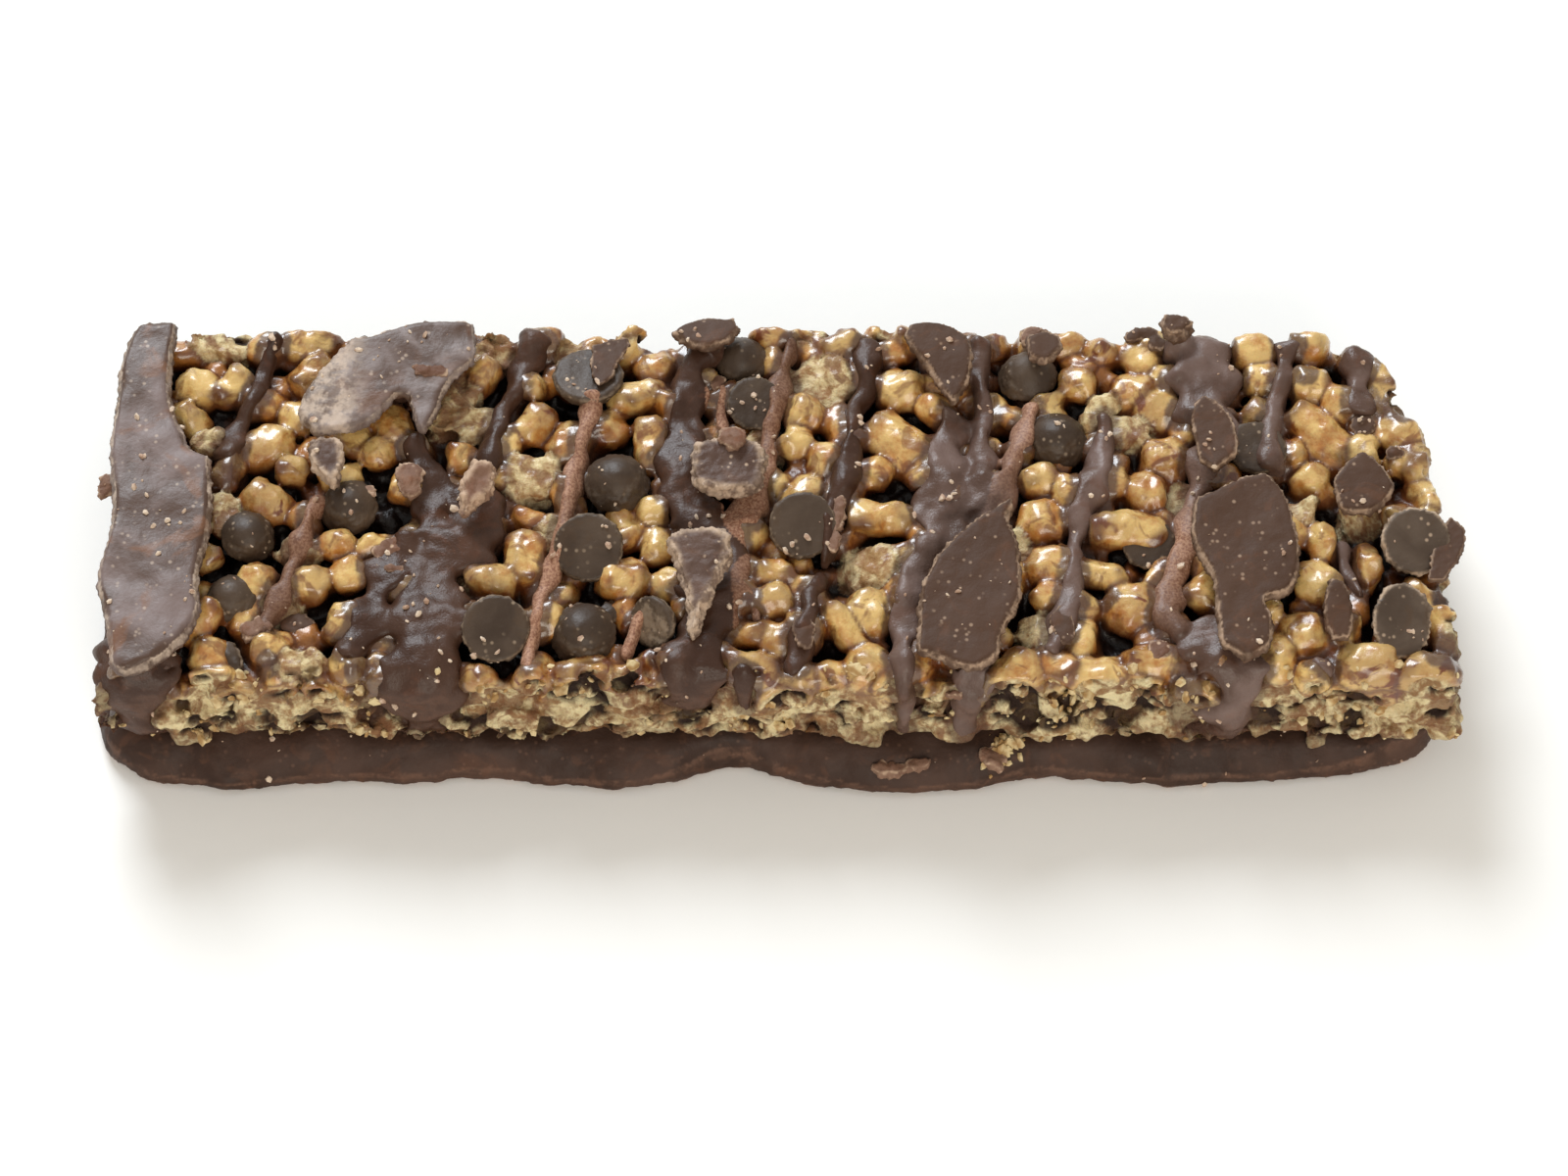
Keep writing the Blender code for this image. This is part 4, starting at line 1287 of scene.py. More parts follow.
def heap_tree() -> Tree:
    """The tree that sets a crisp on each point and makes it lumpy.

    Returns:
        The tree, with inputs for the kinds of crisp and the size and height of its lumps.
    """
    tree = Tree("crisp_heap")
    kinds = tree.input("Kinds", "Collection")
    seed, lump_size, lump_height = tree.numbers("Seed", "Lump size", "Lump height")
    sockets = {"Collection": kinds, "Separate Children": True, "Reset Children": True}
    shapes = tree.node("GeometryNodeCollectionInfo", None, sockets).outputs[0]
    turned = tree.stored("turned", "FLOAT_VECTOR")
    placed = tree.node("GeometryNodeInstanceOnPoints", None, {
        "Points": tree.mesh,
        "Instance": shapes,
        "Pick Instance": True,
        "Instance Index": tree.stored("kind", "INT"),
        "Rotation": tree.node("FunctionNodeEulerToRotation", None, {0: turned}).outputs[0],
        "Scale": tree.stored("sized", "FLOAT_VECTOR"),
    })
    real = tree.node("GeometryNodeRealizeInstances", None, {0: placed.outputs[0]}).outputs[0]
    fine = tree.lumps(lump_size * 0.35, seed) * lump_height * 0.3
    amount = tree.lumps(lump_size, seed) * lump_height + fine
    tree.finish(tree.moved(real, tree.along_normal(amount)))
    return tree


def crust_tree() -> Tree:
    """The tree that roughens the melted crust: grains and pores where crumb is bare, ripples elsewhere.

    Returns:
        The tree, with inputs for the size and depth of the grains, a seed and its material.
    """
    tree = Tree("crust_relief")
    grain_size, grain_depth, seed = tree.numbers("Grain size", "Grain depth", "Seed")
    material = tree.input("Material", "Material")
    bare, place = tree.stored("bare"), tree.node("GeometryNodeInputPosition").outputs[0]
    # The crumb's layers lie flat, so its patterns are pressed together in height.
    squashed = tree.vector("MULTIPLY", {0: place, 1: (0.7, 0.7, 1.25)})
    swirl = tree.noise(squashed, 0.9 / grain_size, 2.0).outputs["Color"]
    swirled = tree.vector("MULTIPLY_ADD", {0: swirl, 1: (1.5 * MM, 1.5 * MM, 1.5 * MM), 2: squashed})
    sockets = {"Vector": squashed, "Scale": 1.0 / grain_size}
    grains = tree.value("ShaderNodeTexVoronoi", "Distance", None, sockets)
    sockets = {"Vector": swirled, "Scale": 0.36 / grain_size}
    seams = tree.value("ShaderNodeTexVoronoi", "Distance", {"feature": "DISTANCE_TO_EDGE"}, sockets)
    layers = Value(tree, tree.noise(squashed, 0.28 / grain_size, 1.0).outputs[0])
    opened = Value(tree, tree.noise(squashed, 0.2 / grain_size, 2.0).outputs[0]).between(0.43, 0.57)
    # Pits open along winding seams, here and there on the cut sides, and the stored "pit" paints shade into
    # them.
    pit = (1 - seams.between(0.05, 0.23)) * opened * tree.stored("wall")
    kept = tree.node("GeometryNodeStoreNamedAttribute", {"data_type": "FLOAT", "domain": "POINT"}, {
        "Geometry": tree.mesh, "Name": "pit", "Value": pit}).outputs[0]
    # Torn crumb has grains, flakes and uneven layers, and glazed skin has only small ripples.
    torn = (0.35 - grains) * grain_depth * 0.45 + tree.lumps(grain_size * 1.2, seed) * grain_depth * 0.6
    torn = torn + (layers - 0.55) * grain_depth * 3.4 - pit * grain_depth * 1.5
    amount = bare * torn + (1 - bare) * tree.lumps(grain_size, seed) * grain_depth * 0.22
    tree.finish(tree.moved(kept, tree.along_normal(amount)), material)
    return tree


def join_tree() -> Tree:
    """The tree that joins another object to the piece.

    Returns:
        The tree, with an input for the other object.
    """
    tree = Tree("join")
    sockets = {"Object": tree.input("Other", "Object")}
    other = tree.node("GeometryNodeObjectInfo", None, sockets).outputs["Geometry"]
    joined = tree.node("GeometryNodeJoinGeometry")
    for source in (tree.mesh, other):
        tree.tree.links.new(source, joined.inputs[0])
    tree.finish(joined.outputs[0])
    return tree


def relief_tree() -> Tree:
    """The tree that gives a chocolate surface its ripples and grain, and a torn rim.

    Returns:
        The tree, with inputs for each size and height, a seed and its material.
    """
    tree = Tree("chocolate_relief")
    ripple_size, ripple_height, grain_size, grain_height = tree.numbers(
        "Ripple size", "Ripple height", "Grain size", "Grain height")
    bend_size, bend_height, torn_size, torn_height, seed = tree.numbers(
        "Bend size", "Bend height", "Torn size", "Torn height", "Seed")
    material = tree.input("Material", "Material")
    amount = tree.lumps(ripple_size, seed) * ripple_height + tree.lumps(grain_size, seed) * grain_height
    torn = tree.lumps(torn_size, seed) + tree.lumps(torn_size * 0.4, seed) * 0.6
    amount = amount + torn * torn_height * tree.stored("edge")
    bend = tree.lumps(bend_size, seed + 7.0) * bend_height
    bent = tree.moved(tree.mesh, tree.node("ShaderNodeCombineXYZ", None, {2: bend}).outputs[0])
    tree.finish(tree.moved(bent, tree.along_normal(amount)), material)
    return tree


def crumb_tree() -> Tree:
    """The tree that strews crumbs over what faces up or out.

    Returns:
        The tree, with inputs for the crumb, its size, how many there are, a seed and the material.
    """
    tree = Tree("crumb_scatter")
    crumb, material = tree.input("Crumb", "Object"), tree.input("Material", "Material")
    size, density, cluster = tree.numbers("Size", "Density", "Cluster")
    seed = tree.input("Seed", "Int")
    gathered = tree.lumps(cluster, 3.0).between(-0.2, 0.8)
    spots = tree.node("GeometryNodeDistributePointsOnFaces", None, {
        "Mesh": tree.mesh,
        "Density": density * gathered * tree.stored("strew"),
        "Seed": seed,
    })
    turn = tree.random((0.0, 0.0, 0.0), (math.tau, math.tau, math.tau), seed)
    flat = tree.random((0.6, 0.6, 0.4), (1.4, 1.1, 0.8), seed)
    scale = tree.random(0.35, 1.0, seed)
    sized = tree.vector("SCALE", {0: flat, "Scale": scale * scale * size})
    placed = tree.node("GeometryNodeInstanceOnPoints", None, {
        "Points": spots.outputs[0],
        "Instance": tree.node("GeometryNodeObjectInfo", None, {"Object": crumb}).outputs["Geometry"],
        "Rotation": tree.node("FunctionNodeEulerToRotation", None, {0: turn}).outputs[0],
        "Scale": sized,
    })
    tree.finish(placed.outputs[0], material)
    return tree


@dataclass
class Syrup:
    """The caramel between and under the crisps, as a block whose top creeps up between them."""

    inset: float = 1.2
    top: float = 10.2
    voxel: float = 0.4
    grid: Grid = Grid(0.25, 60.0, 20.0)
    spread: float = 0.75
    sink: float = 0.95
    sink_swing: float = 0.7
    swing_size: float = 7.0
    bump_pitch: float = 0.8
    bump: float = 0.35
    wall_bump: float = 0.4
    lowest: float = 8.4
    highest: float = 12.0

    def levels(self, places: Sequence[Place], points: np.ndarray) -> np.ndarray:
        """Works out how high the syrup stands.

        Args:
            places: the crisps, which it creeps up.
            points: one row a point.

        Returns:
            The syrup's height at each point.
        """
        grid, cell = self.grid, self.grid.cell
        columns, rows = grid.shape()
        crowns = np.full((columns, rows), self.lowest)
        for p in places:
            reach = int(max(p.long, p.wide) / cell) + 1
            ci, cj = int((p.x + grid.half_long) / cell), int((p.y + grid.half_wide) / cell)
            i, j = np.mgrid[
                max(ci - reach, 0):min(ci + reach, columns), max(cj - reach, 0):min(cj + reach, rows)]
            dx, dy = i * cell - grid.half_long - p.x, j * cell - grid.half_wide - p.y
            u = dx * math.cos(p.turn) + dy * math.sin(p.turn)
            v = dy * math.cos(p.turn) - dx * math.sin(p.turn)
            inside = 1 - (u / p.long) ** 2 - (v / p.wide) ** 2
            cap = np.where(inside > 0, p.z + p.tall * np.sqrt(np.maximum(inside, 0)), self.lowest)
            crowns[i, j] = np.maximum(crowns[i, j], cap)
        for axis in (0, 1):
            crowns = blurred(crowns, self.spread / cell, axis)
        return crowns[grid.cells(points)]

    def build(self, knife: KnifeCut, places: Sequence[Place]) -> Piece:
        """Makes the block.

        Args:
            knife: the line of the cut sides.
            places: the crisps that it creeps up.

        Returns:
            The piece.
        """
        corner = (np.roll(knife.normals, 1, axis=0) + knife.normals) / 2
        outline = knife.starts - corner * self.inset
        count = len(outline)
        points = [(*point, level) for level in (SLAB_BOTTOM, self.top) for point in outline]
        faces = [tuple(reversed(range(count))), tuple(range(count, 2 * count))]
        faces += [(i, (i + 1) % count, (i + 1) % count + count, i + count) for i in range(count)]
        piece = new_piece("syrup", np.array(points), faces)
        even_out(piece, self.voxel)
        settle(piece)
        grid = points_of(piece.data)
        bumps = np.array([noise.noise(Vector(point) * self.bump_pitch) for point in grid])
        swing = np.array([noise.noise(Vector(point) / self.swing_size) for point in grid])
        on_top = grid[:, 2] > self.top - self.voxel
        level = self.levels(places, grid) - self.sink + swing * self.sink_swing * 2 + bumps * self.bump
        grid[:, 2] = np.where(on_top, np.clip(level, self.lowest, self.highest), grid[:, 2])
        _, normals = knife.depth(grid)
        wall = ~on_top & (grid[:, 2] > SLAB_BOTTOM + self.voxel)
        out = bumps * self.wall_bump + knife.lean(grid[:, 2], normals[:, 1])
        grid[:, :2] += np.where(wall, out, 0)[:, None] * normals
        set_points(piece.data, grid)
        return piece


@dataclass
class Crust:
    """Crisps and syrup melted into one body, which is then sliced into three pieces along the bar."""

    material: Finish
    heap: CrispHeap = field(default_factory=CrispHeap)
    syrup: Syrup = field(default_factory=Syrup)
    voxel: float = 0.26
    melt: float = 0.4
    melt_rounds: int = 1
    grain_size: float = 0.85
    grain_depth: float = 0.55
    grid: Grid = Grid(0.4, 60.0, 22.0)
    crown_cells: int = 4
    crown_blur: float = 3.0
    # Creases between crisps are painted dark as shade through the glaze.
    crease_steps: Span = (0.04, 0.25)
    crease_shade_share: float = 0.85
    glaze_steps: Span = (1.05, 1.28)
    wall_steps: Span = (0.8, 1.5)
    low_steps: Span = (9.0, 10.6)
    low_bare: float = 0.9
    inner_steps: Span = (0.84, 0.95)
    broken_bare: float = 0.75
    broken_to: float = 1.2
    search: float = 1.4
    far_away: float = 9.0
    deepest: float = 5.0
    stain_steps: Span = (0.25, 1.4)
    sharp_from: float = 75.0
    slices: tuple[tuple[str, float, float], ...] = (
        ("crust_left", -70.0, -18.5), ("crust_middle", -18.5, 18.5), ("crust_right", 18.5, 70.0))

    def body(self) -> Piece:
        """Melts the crisps and the syrup together.

        Returns:
            The whole crust.
        """
        crust = self.heap.build()
        syrup = self.syrup.build(self.heap.knife, self.heap.everything())
        join_tree().attach(crust, Other=syrup)
        even_out(crust, self.voxel)
        soften(crust, self.melt, self.melt_rounds)
        settle(crust)
        bpy.data.objects.remove(syrup)
        self.mark(crust.data)
        crust_tree().attach(
            crust, Grain_size=self.grain_size * MM, Grain_depth=self.grain_depth * MM, Seed=3.0,
            Material=self.material)
        settle(crust)
        return crust

    def mark(self, mesh: Mesh) -> None:
        """Stores which crisp each point belongs to, whether it shows skin, syrup or bare crumb, and where
        shade is painted in creases and with depth.

        Args:
            mesh: the melted crust.
        """
        points = points_of(mesh)
        order = np.argsort(points[:, 0])
        sorted_x = points[order, 0]
        nearest, second = (np.full(len(points), self.far_away) for _ in range(2))
        tone, ragged = np.zeros(len(points)), np.zeros(len(points))
        for place in self.heap.everything():
            reach = self.search * max(place.long, place.wide, place.tall)
            low, high = np.searchsorted(sorted_x, (place.x - reach, place.x + reach))
            index = order[low:high]
            index = index[np.abs(points[index, 1] - place.y) < reach]
            away = place.away(points[index])
            closer = away < nearest[index]
            second[index] = np.where(closer, nearest[index], np.minimum(second[index], away))
            index = index[closer]
            nearest[index], tone[index], ragged[index] = away[closer], place.tone, place.ragged
        depth, _ = self.heap.knife.depth(points)
        wall = 1 - smooth_step(depth, *self.wall_steps)
        # The line below which the wall is bare crumb winds up and down along the bar.
        wobble = np.sin(points[:, 0] * 0.9) * 0.6 + np.sin(points[:, 0] * 0.37 + 2) * 0.7
        low_wall = wall * (1 - smooth_step(points[:, 2] + wobble, *self.low_steps))
        inner = (1 - smooth_step(nearest, *self.inner_steps)) * wall
        # Painted shade: "glaze" also takes the creases where two crisps lie almost equally near, and "cavity"
        # darkens the colour with depth below the crowns.
        crease = 1 - smooth_step(second - nearest, *self.crease_steps)
        below = np.minimum(self.below_crowns(points), depth + 0.2)
        store(mesh, "tone", tone)
        store(mesh, "glaze", np.maximum(smooth_step(nearest, *self.glaze_steps), crease * self.crease_shade_share))
        store(mesh, "wall", wall)
        broken = ragged * self.broken_bare * (nearest < self.broken_to)
        store(mesh, "bare", np.maximum.reduce([inner, low_wall * self.low_bare, broken]))
        store(mesh, "cavity", np.clip(below, 0, self.deepest))

    def below_crowns(self, points: np.ndarray) -> np.ndarray:
        """How far points lie below a soft sheet over the crowns of the crisps.

        Args:
            points: one row a point.

        Returns:
            One distance a point.
        """
        cells, crowns = self.grid.cells(points), np.zeros(self.grid.shape())
        np.maximum.at(crowns, cells, points[:, 2])
        steps = range(-self.crown_cells, self.crown_cells + 1)
        for axis in (0, 1):
            crowns = np.maximum.reduce([np.roll(crowns, step, axis) for step in steps])
            crowns = blurred(crowns, self.crown_blur, axis)
        return crowns[cells] - points[:, 2]

    def stain(self, pieces: Sequence[Piece], poured: Sequence[Piece]) -> None:
        """Stores how near the crust lies to chocolate.

        Args:
            pieces: the crust's pieces.
            poured: the chocolate.
        """
        finder = finder_of(np.concatenate([points_of(piece.data)[::3] for piece in poured]))
        for piece in pieces:
            points = points_of(piece.data)
            away = np.array([finder.find(point)[2] for point in points])
            near = 1 - smooth_step(away, *self.stain_steps)
            for x, y, reach in SMEARS:
                spread = np.hypot(*(points[:, :2] - (x, y)).T)
                near = np.maximum(near, 1 - smooth_step(spread, reach * 0.5, reach))
            store(piece.data, "stain", near)

    def build(self) -> list[Piece]:
        """Makes the crust's pieces.

        Returns:
            The pieces, from left to right.
        """
        whole = self.body()
        pieces = []
        for name, low, high in self.slices:
            shape = shape_of([whole])
            for place, side in ((low, -1), (high, 1)):
                everything = shape.verts[:] + shape.edges[:] + shape.faces[:]
                made = bmesh.ops.bisect_plane(
                    shape, geom=everything, plane_co=(place * MM, 0, 0), plane_no=(side, 0, 0),
                    clear_outer=True)
                rim = [part for part in made["geom_cut"] if isinstance(part, bmesh.types.BMEdge)]
                if rim:
                    bmesh.ops.holes_fill(shape, edges=rim)
            piece = piece_of(shape, name)
            piece.data.materials.append(self.material)
            piece.data.shade_smooth()
            piece.data.set_sharp_from_angle(angle=math.radians(self.sharp_from))
            pieces.append(piece)
        bpy.data.objects.remove(whole)
        return pieces


@dataclass(frozen=True)
class Run:
    """A run of drizzle through points of x, y and half width, its drop down the cut face, and its rust."""

    points: tuple[tuple[float, float, float], ...]
    thick: float = 0.85
    drop: float = 0.0
    rust: tuple[float, ...] = (0.0,)


# The thickness of the runs that fill what is left under the raised plates.
PAD = 2.3
LEFT_RUNS = (
    Run(((-42.0, 17.2, 0.9), (-43.4, 11.6, 0.7), (-45.0, 7.4, 0.9), (-46.6, 3.8, 1.1)), 0.9),
    Run(((-37.8, 1.6, 0.8), (-39.2, -3.6, 0.75), (-40.6, -8.2, 0.8), (-42.2, -13.2, 0.7)), 0.9,
        rust=(0.7, 0.2)),
    Run(((-34.5, 17.3, 0.9), (-35.3, 14.6, 0.7))),
    Run(((-19.8, 17.2, 1.4), (-22.4, 11.0, 0.9), (-23.6, 6.4, 0.8), (-24.4, 2.6, 1.2)), 1.0),
    Run(((-30.2, 7.4, 1.2), (-29.4, 3.6, 1.3), (-28.6, 0.4, 1.8), (-27.6, -3.4, 2.6)), 0.8),
    Run(((-24.2, 2.4, 1.6), (-26.2, -4.4, 3.4), (-28.2, -9.4, 3.6), (-28.6, -13.6, 2.9),
         (-28.9, -17.2, 3.2)), 1.1, 10.9),
    Run(((-30.2, -2.6, 1.6), (-31.6, -7.0, 2.0), (-32.6, -10.2, 1.6), (-34.0, -13.6, 1.1),
         (-35.4, -15.8, 0.8)), 0.9),
    Run(((-52.0, -12.4, 1.8), (-52.2, -15.0, 2.7), (-52.4, -17.2, 3.2)), 1.0, 10.4),
    Run(((-35.0, 12.0, 1.6), (-32.0, 12.9, 1.8), (-29.0, 13.6, 1.8), (-26.4, 14.6, 1.2)), PAD),
)
MIDDLE_RUNS = (
    Run(((-6.8, 16.6, 1.8), (-7.1, 12.0, 1.7), (-7.5, 6.0, 2.2), (-7.4, 0.0, 2.4), (-6.6, -2.6, 2.2)), 1.0),
    Run(((-6.4, -0.6, 2.2), (-4.6, -4.4, 2.2), (-4.4, -8.0, 2.5), (-5.8, -12.0, 2.5), (-6.9, -15.0, 3.2),
         (-7.2, -17.2, 3.2)), 1.1, 5.5),
    Run(((1.7, 16.9, 1.1), (0.6, 12.5, 0.8), (0.1, 9.7, 0.8), (-0.4, 7.2, 0.8), (-0.9, 5.0, 0.9),
         (-1.8, 1.4, 1.3), (-3.2, -2.6, 2.0)), 0.9, rust=(0.2, 0.9)),
    Run(((8.2, 16.9, 1.2), (7.7, 12.5, 0.9), (6.6, 6.9, 0.8), (6.1, 4.1, 1.0), (5.6, 1.2, 1.0),
         (5.1, -1.3, 1.0), (4.5, -3.9, 0.8), (4.0, -6.2, 0.6)), 0.95),
    Run(((4.0, -6.0, 0.6), (3.2, -8.7, 0.45), (2.7, -10.8, 0.8), (2.3, -13.2, 1.1), (1.6, -15.6, 0.7),
         (0.9, -17.0, 0.5)), 0.9),
    Run(((-4.6, 12.4, 0.5), (-4.4, 8.4, 0.35), (-4.0, 5.0, 0.45)), 0.7, rust=(1.0,)),
    Run(((-2.9, -7.0, 0.4), (-1.9, -9.6, 0.25), (-1.0, -12.0, 0.25)), 0.4, rust=(0.5,)),
    Run(((-2.4, -16.0, 0.8), (-2.6, -17.2, 0.8)), 0.7, 5.0),
    Run(((-7.8, 15.1, 1.2), (-5.8, 15.3, 1.5), (-3.8, 15.6, 1.2)), PAD),
)
RIGHT_RUNS = (
    Run(((14.6, 9.8, 1.5), (14.3, 4.5, 1.6), (14.7, 0.2, 2.3), (14.4, -3.0, 2.5), (12.4, -6.5, 1.6),
         (11.2, -9.5, 1.3), (10.6, -13.0, 1.2), (10.4, -17.2, 1.0)), 0.9, 10.6),
    Run(((17.3, 16.9, 1.2), (17.4, 12.0, 0.95), (17.5, 6.0, 1.0), (17.3, 2.0, 1.1), (16.4, -1.6, 1.9)), 1.0),
    Run(((22.0, 10.4, 0.8), (20.9, 7.4, 0.85), (19.8, 4.0, 0.9), (18.9, 1.2, 1.0), (18.1, -1.2, 1.3),
         (16.8, -3.0, 1.8)), 0.95, rust=(1.0, 0.0)),
    Run(((27.6, 9.4, 0.9), (27.6, 6.0, 0.9), (27.2, 3.3, 1.1), (26.0, 1.0, 1.2), (25.4, -1.0, 0.8),
         (24.9, -4.2, 0.7), (24.7, -6.6, 0.7), (24.3, -9.2, 0.8), (23.8, -11.2, 1.1), (23.2, -13.0, 1.0),
         (22.3, -15.4, 0.8))),
    Run(((34.0, 16.2, 2.0), (34.8, 14.0, 3.3), (35.6, 12.0, 3.0), (36.6, 9.5, 2.4), (37.0, 6.5, 1.8),
         (36.0, 3.6, 1.4)), 1.5),
    Run(((36.6, 6.0, 1.5), (35.4, 2.4, 1.3), (34.3, -1.8, 1.2), (33.1, -6.4, 1.2), (32.4, -8.8, 1.1),
         (32.0, -11.0, 1.3), (33.4, -13.6, 2.2)), 1.0, rust=(0.0, 0.2, 0.9, 0.5, 0.0)),
    Run(((34.4, -11.0, 2.2), (36.4, -14.6, 2.9), (37.2, -17.2, 2.8)), 1.2, 10.4),
    Run(((43.3, 16.9, 1.1), (42.9, 12.5, 0.8), (42.2, 10.0, 0.8), (41.5, 7.2, 0.9), (41.2, 2.6, 1.2)), 0.9),
    Run(((49.1, 16.0, 0.9), (49.2, 12.4, 1.1), (49.3, 8.2, 1.3)), 0.9),
    Run(((46.6, -3.0, 0.6), (47.2, -6.4, 0.6), (48.4, -9.4, 0.7)), 0.8),
    Run(((45.2, -14.6, 0.8), (44.5, -17.0, 1.0)), 0.8),
    Run(((15.4, -15.4, 1.0), (16.0, -17.2, 2.0)), 0.9, 10.4),
    Run(((11.8, 15.7, 1.0), (13.8, 15.0, 1.5), (15.3, 13.4, 1.3), (15.5, 11.2, 1.0)), PAD),
    Run(((32.5, 16.1, 1.2), (34.0, 15.6, 1.4), (35.6, 15.2, 1.2)), PAD),
    Run(((17.2, -4.6, 1.2), (15.4, -7.5, 1.4), (14.2, -10.5, 1.3), (14.0, -14.0, 1.2)), PAD),
    Run(((46.3, -9.6, 0.8), (46.2, -11.6, 0.9), (45.8, -13.4, 0.8)), PAD),
)
THIN_RUNS = (
    Run(((-15.2, 10.6, 0.8), (-15.8, 6.4, 0.75), (-17.2, 1.0, 0.75), (-18.2, -5.0, 0.8), (-19.6, -12.0, 0.7),
         (-20.4, -17.0, 0.45)), 0.9, rust=(0.8, 1.0)),
    Run(((-9.9, -8.9, 0.45), (-11.4, -11.8, 0.5), (-12.6, -15.1, 0.45)), 0.8, rust=(1.0,)),
)


@dataclass
class Drizzle:
    """Chocolate poured in runs, which drape over what they lie on and drip down the cut face."""

    plates: Ground
    step: float = 0.4
    path_blur: float = 3.0
    turn_down: Span = (0.1, 1.3)
    round_end: Span = (-0.4, 0.9)
    arc: int = 11
    sink: float = 0.9
    voxel: float = 0.2
    highest: float = 14.6
    lowest: float = 11.2
    over_face: float = 0.2
    lip: float = 1.6
    drip_start: float = 1.2
    drip_middle: float = 0.55
    drip_widths: tuple[float, float, float] = (0.95, 0.75, 0.5)
    swing: float = 0.5
    swing_size: float = 2.6
    under_plate: float = 0.35
    rays_from: float = 5.0
    rays_reach: float = 9.0
    no_ground: float = -1.5
    left_seed: float = 3.0
    right_seed: float = 40.0
    crown_seed: float = 80.0
    crown_swing: float = 0.5
    rim_steps: Span = (0.0, 0.3)
    drape_blur: Span = (2.4, 1.6)
    full_width: float = 0.9
    ripple_size: float = 2.0
    ripple_height: float = 0.26
    grain_size: float = 0.7
    grain_height: float = 0.025
    soft_share: float = 0.6
    soft_rounds: int = 9

    def route(self, run: Run) -> tuple[np.ndarray, np.ndarray, np.ndarray]:
        """Even steps along a run.

        Args:
            run: the run.

        Returns:
            The centres, the half widths, and the direction that faces out at each.
        """
        rows = [(x, y, CRISP_TOP, width) for x, y, width in run.points]
        if run.drop:
            x, _, width = run.points[-1]
            face = -HALF_WIDTH - self.over_face
            first, middle, last = self.drip_widths
            rows[-1] = (x, face + self.lip, CRISP_TOP, width)
            rows += [
                (x, face, CRISP_TOP - self.drip_start, width * first),
                (x + 0.2, face, CRISP_TOP - run.drop * self.drip_middle, width * middle),
                (x + 0.3, face, max(CRISP_TOP - run.drop, SLAB_BOTTOM - 1.0), width * last)]
        corners = np.array(rows)
        gaps = np.linalg.norm(np.diff(corners[:, :3], axis=0), axis=1)
        travelled = np.concatenate([[0], np.cumsum(gaps)])
        count = max(3, int(travelled[-1] / self.step))
        even = np.linspace(0, travelled[-1], count)
        path = np.stack([np.interp(even, travelled, column) for column in corners.T], axis=1)
        path = blurred(path, self.path_blur, 0)
        share = smooth_step(CRISP_TOP - path[:, 2], *self.turn_down)
        out = np.stack([np.zeros(count), -share, 1 - share], axis=1)
        out /= np.linalg.norm(out, axis=1)[:, None]
        return path[:, :3], path[:, 3], out

    def wobble(self, centres: np.ndarray, seed: float) -> np.ndarray:
        """A slow swing along a run's centres, from about -1 to 1."""
        shift = Vector((0, 0, seed))
        return np.array([noise.noise(Vector(centre) / self.swing_size + shift) for centre in centres])

    def loft(self, run: Run, ground: Ground, start: int) -> tuple[list[tuple], list[tuple]]:
        """Lays a run over the ground, and under the flat plates.

        Args:
            run: the run.
            ground: what it lies on.
            start: the number of its first point.

        Returns:
            Its points in millimetres and its faces.
        """
        centres, widths, outs = self.route(run)
        count = len(centres)
        along = np.gradient(centres, axis=0)
        along /= np.linalg.norm(along, axis=1)[:, None]
        across = np.cross(along, outs)
        across /= np.linalg.norm(across, axis=1)[:, None]
        ends = np.minimum(np.arange(count), np.arange(count)[::-1]) * self.step
        widths = widths * np.sqrt(smooth_step(ends, *self.round_end))
        left = widths * (1 + self.swing * 2 * self.wobble(centres, self.left_seed))
        right = widths * (1 + self.swing * 2 * self.wobble(centres, self.right_seed))
        shares = np.sin(np.linspace(-math.pi / 2, math.pi / 2, self.arc))
        offsets = np.where(shares[None, :] < 0, left[:, None], right[:, None]) * shares[None, :]
        seats = centres[:, None, :] + across[:, None, :] * offsets[:, :, None]
        heights, covers = np.zeros(offsets.shape), np.full(offsets.shape, math.inf)
        for i in range(count):
            out = Vector(outs[i])
            for j in range(self.arc):
                high = Vector(seats[i, j]) + out * self.rays_from
                fall = ground.reach(high, -out, self.rays_reach)
                heights[i, j] = self.rays_from - fall if fall < self.rays_reach else self.no_ground
                plate = self.plates.reach(high, -out, self.rays_reach)
                if plate < self.rays_reach:
                    covers[i, j] = self.rays_from - plate - self.under_plate
        heights = np.clip(heights, self.lowest - CRISP_TOP, self.highest - CRISP_TOP)
        for axis, blur in enumerate(self.drape_blur):
            heights = blurred(heights, blur, axis)
        swing = 1 + self.crown_swing * self.wobble(centres, self.crown_seed)
        crown = run.thick * np.minimum(1, widths / self.full_width) * swing
        dome = crown[:, None] * np.sqrt(1 - shares[None, :] ** 2)
        raised = np.minimum(heights + dome, covers)
        tops = seats + outs[:, None, :] * raised[:, :, None]
        lows = seats + outs[:, None, :] * (np.minimum(heights, raised) - self.sink)[:, :, None]
        rings = np.concatenate([tops, lows[:, -2:0:-1]], axis=1)
        size = rings.shape[1]
        points = [tuple(point) for ring in rings for point in ring]
        faces = [tuple(start + index for index in reversed(range(size)))]
        for i in range(count - 1):
            for j in range(size):
                after = (j + 1) % size
                low, high = start + i * size, start + (i + 1) * size
                faces.append((low + j, low + after, high + after, high + j))
        faces.append(tuple(start + (count - 1) * size + index for index in range(size)))
        return points, faces

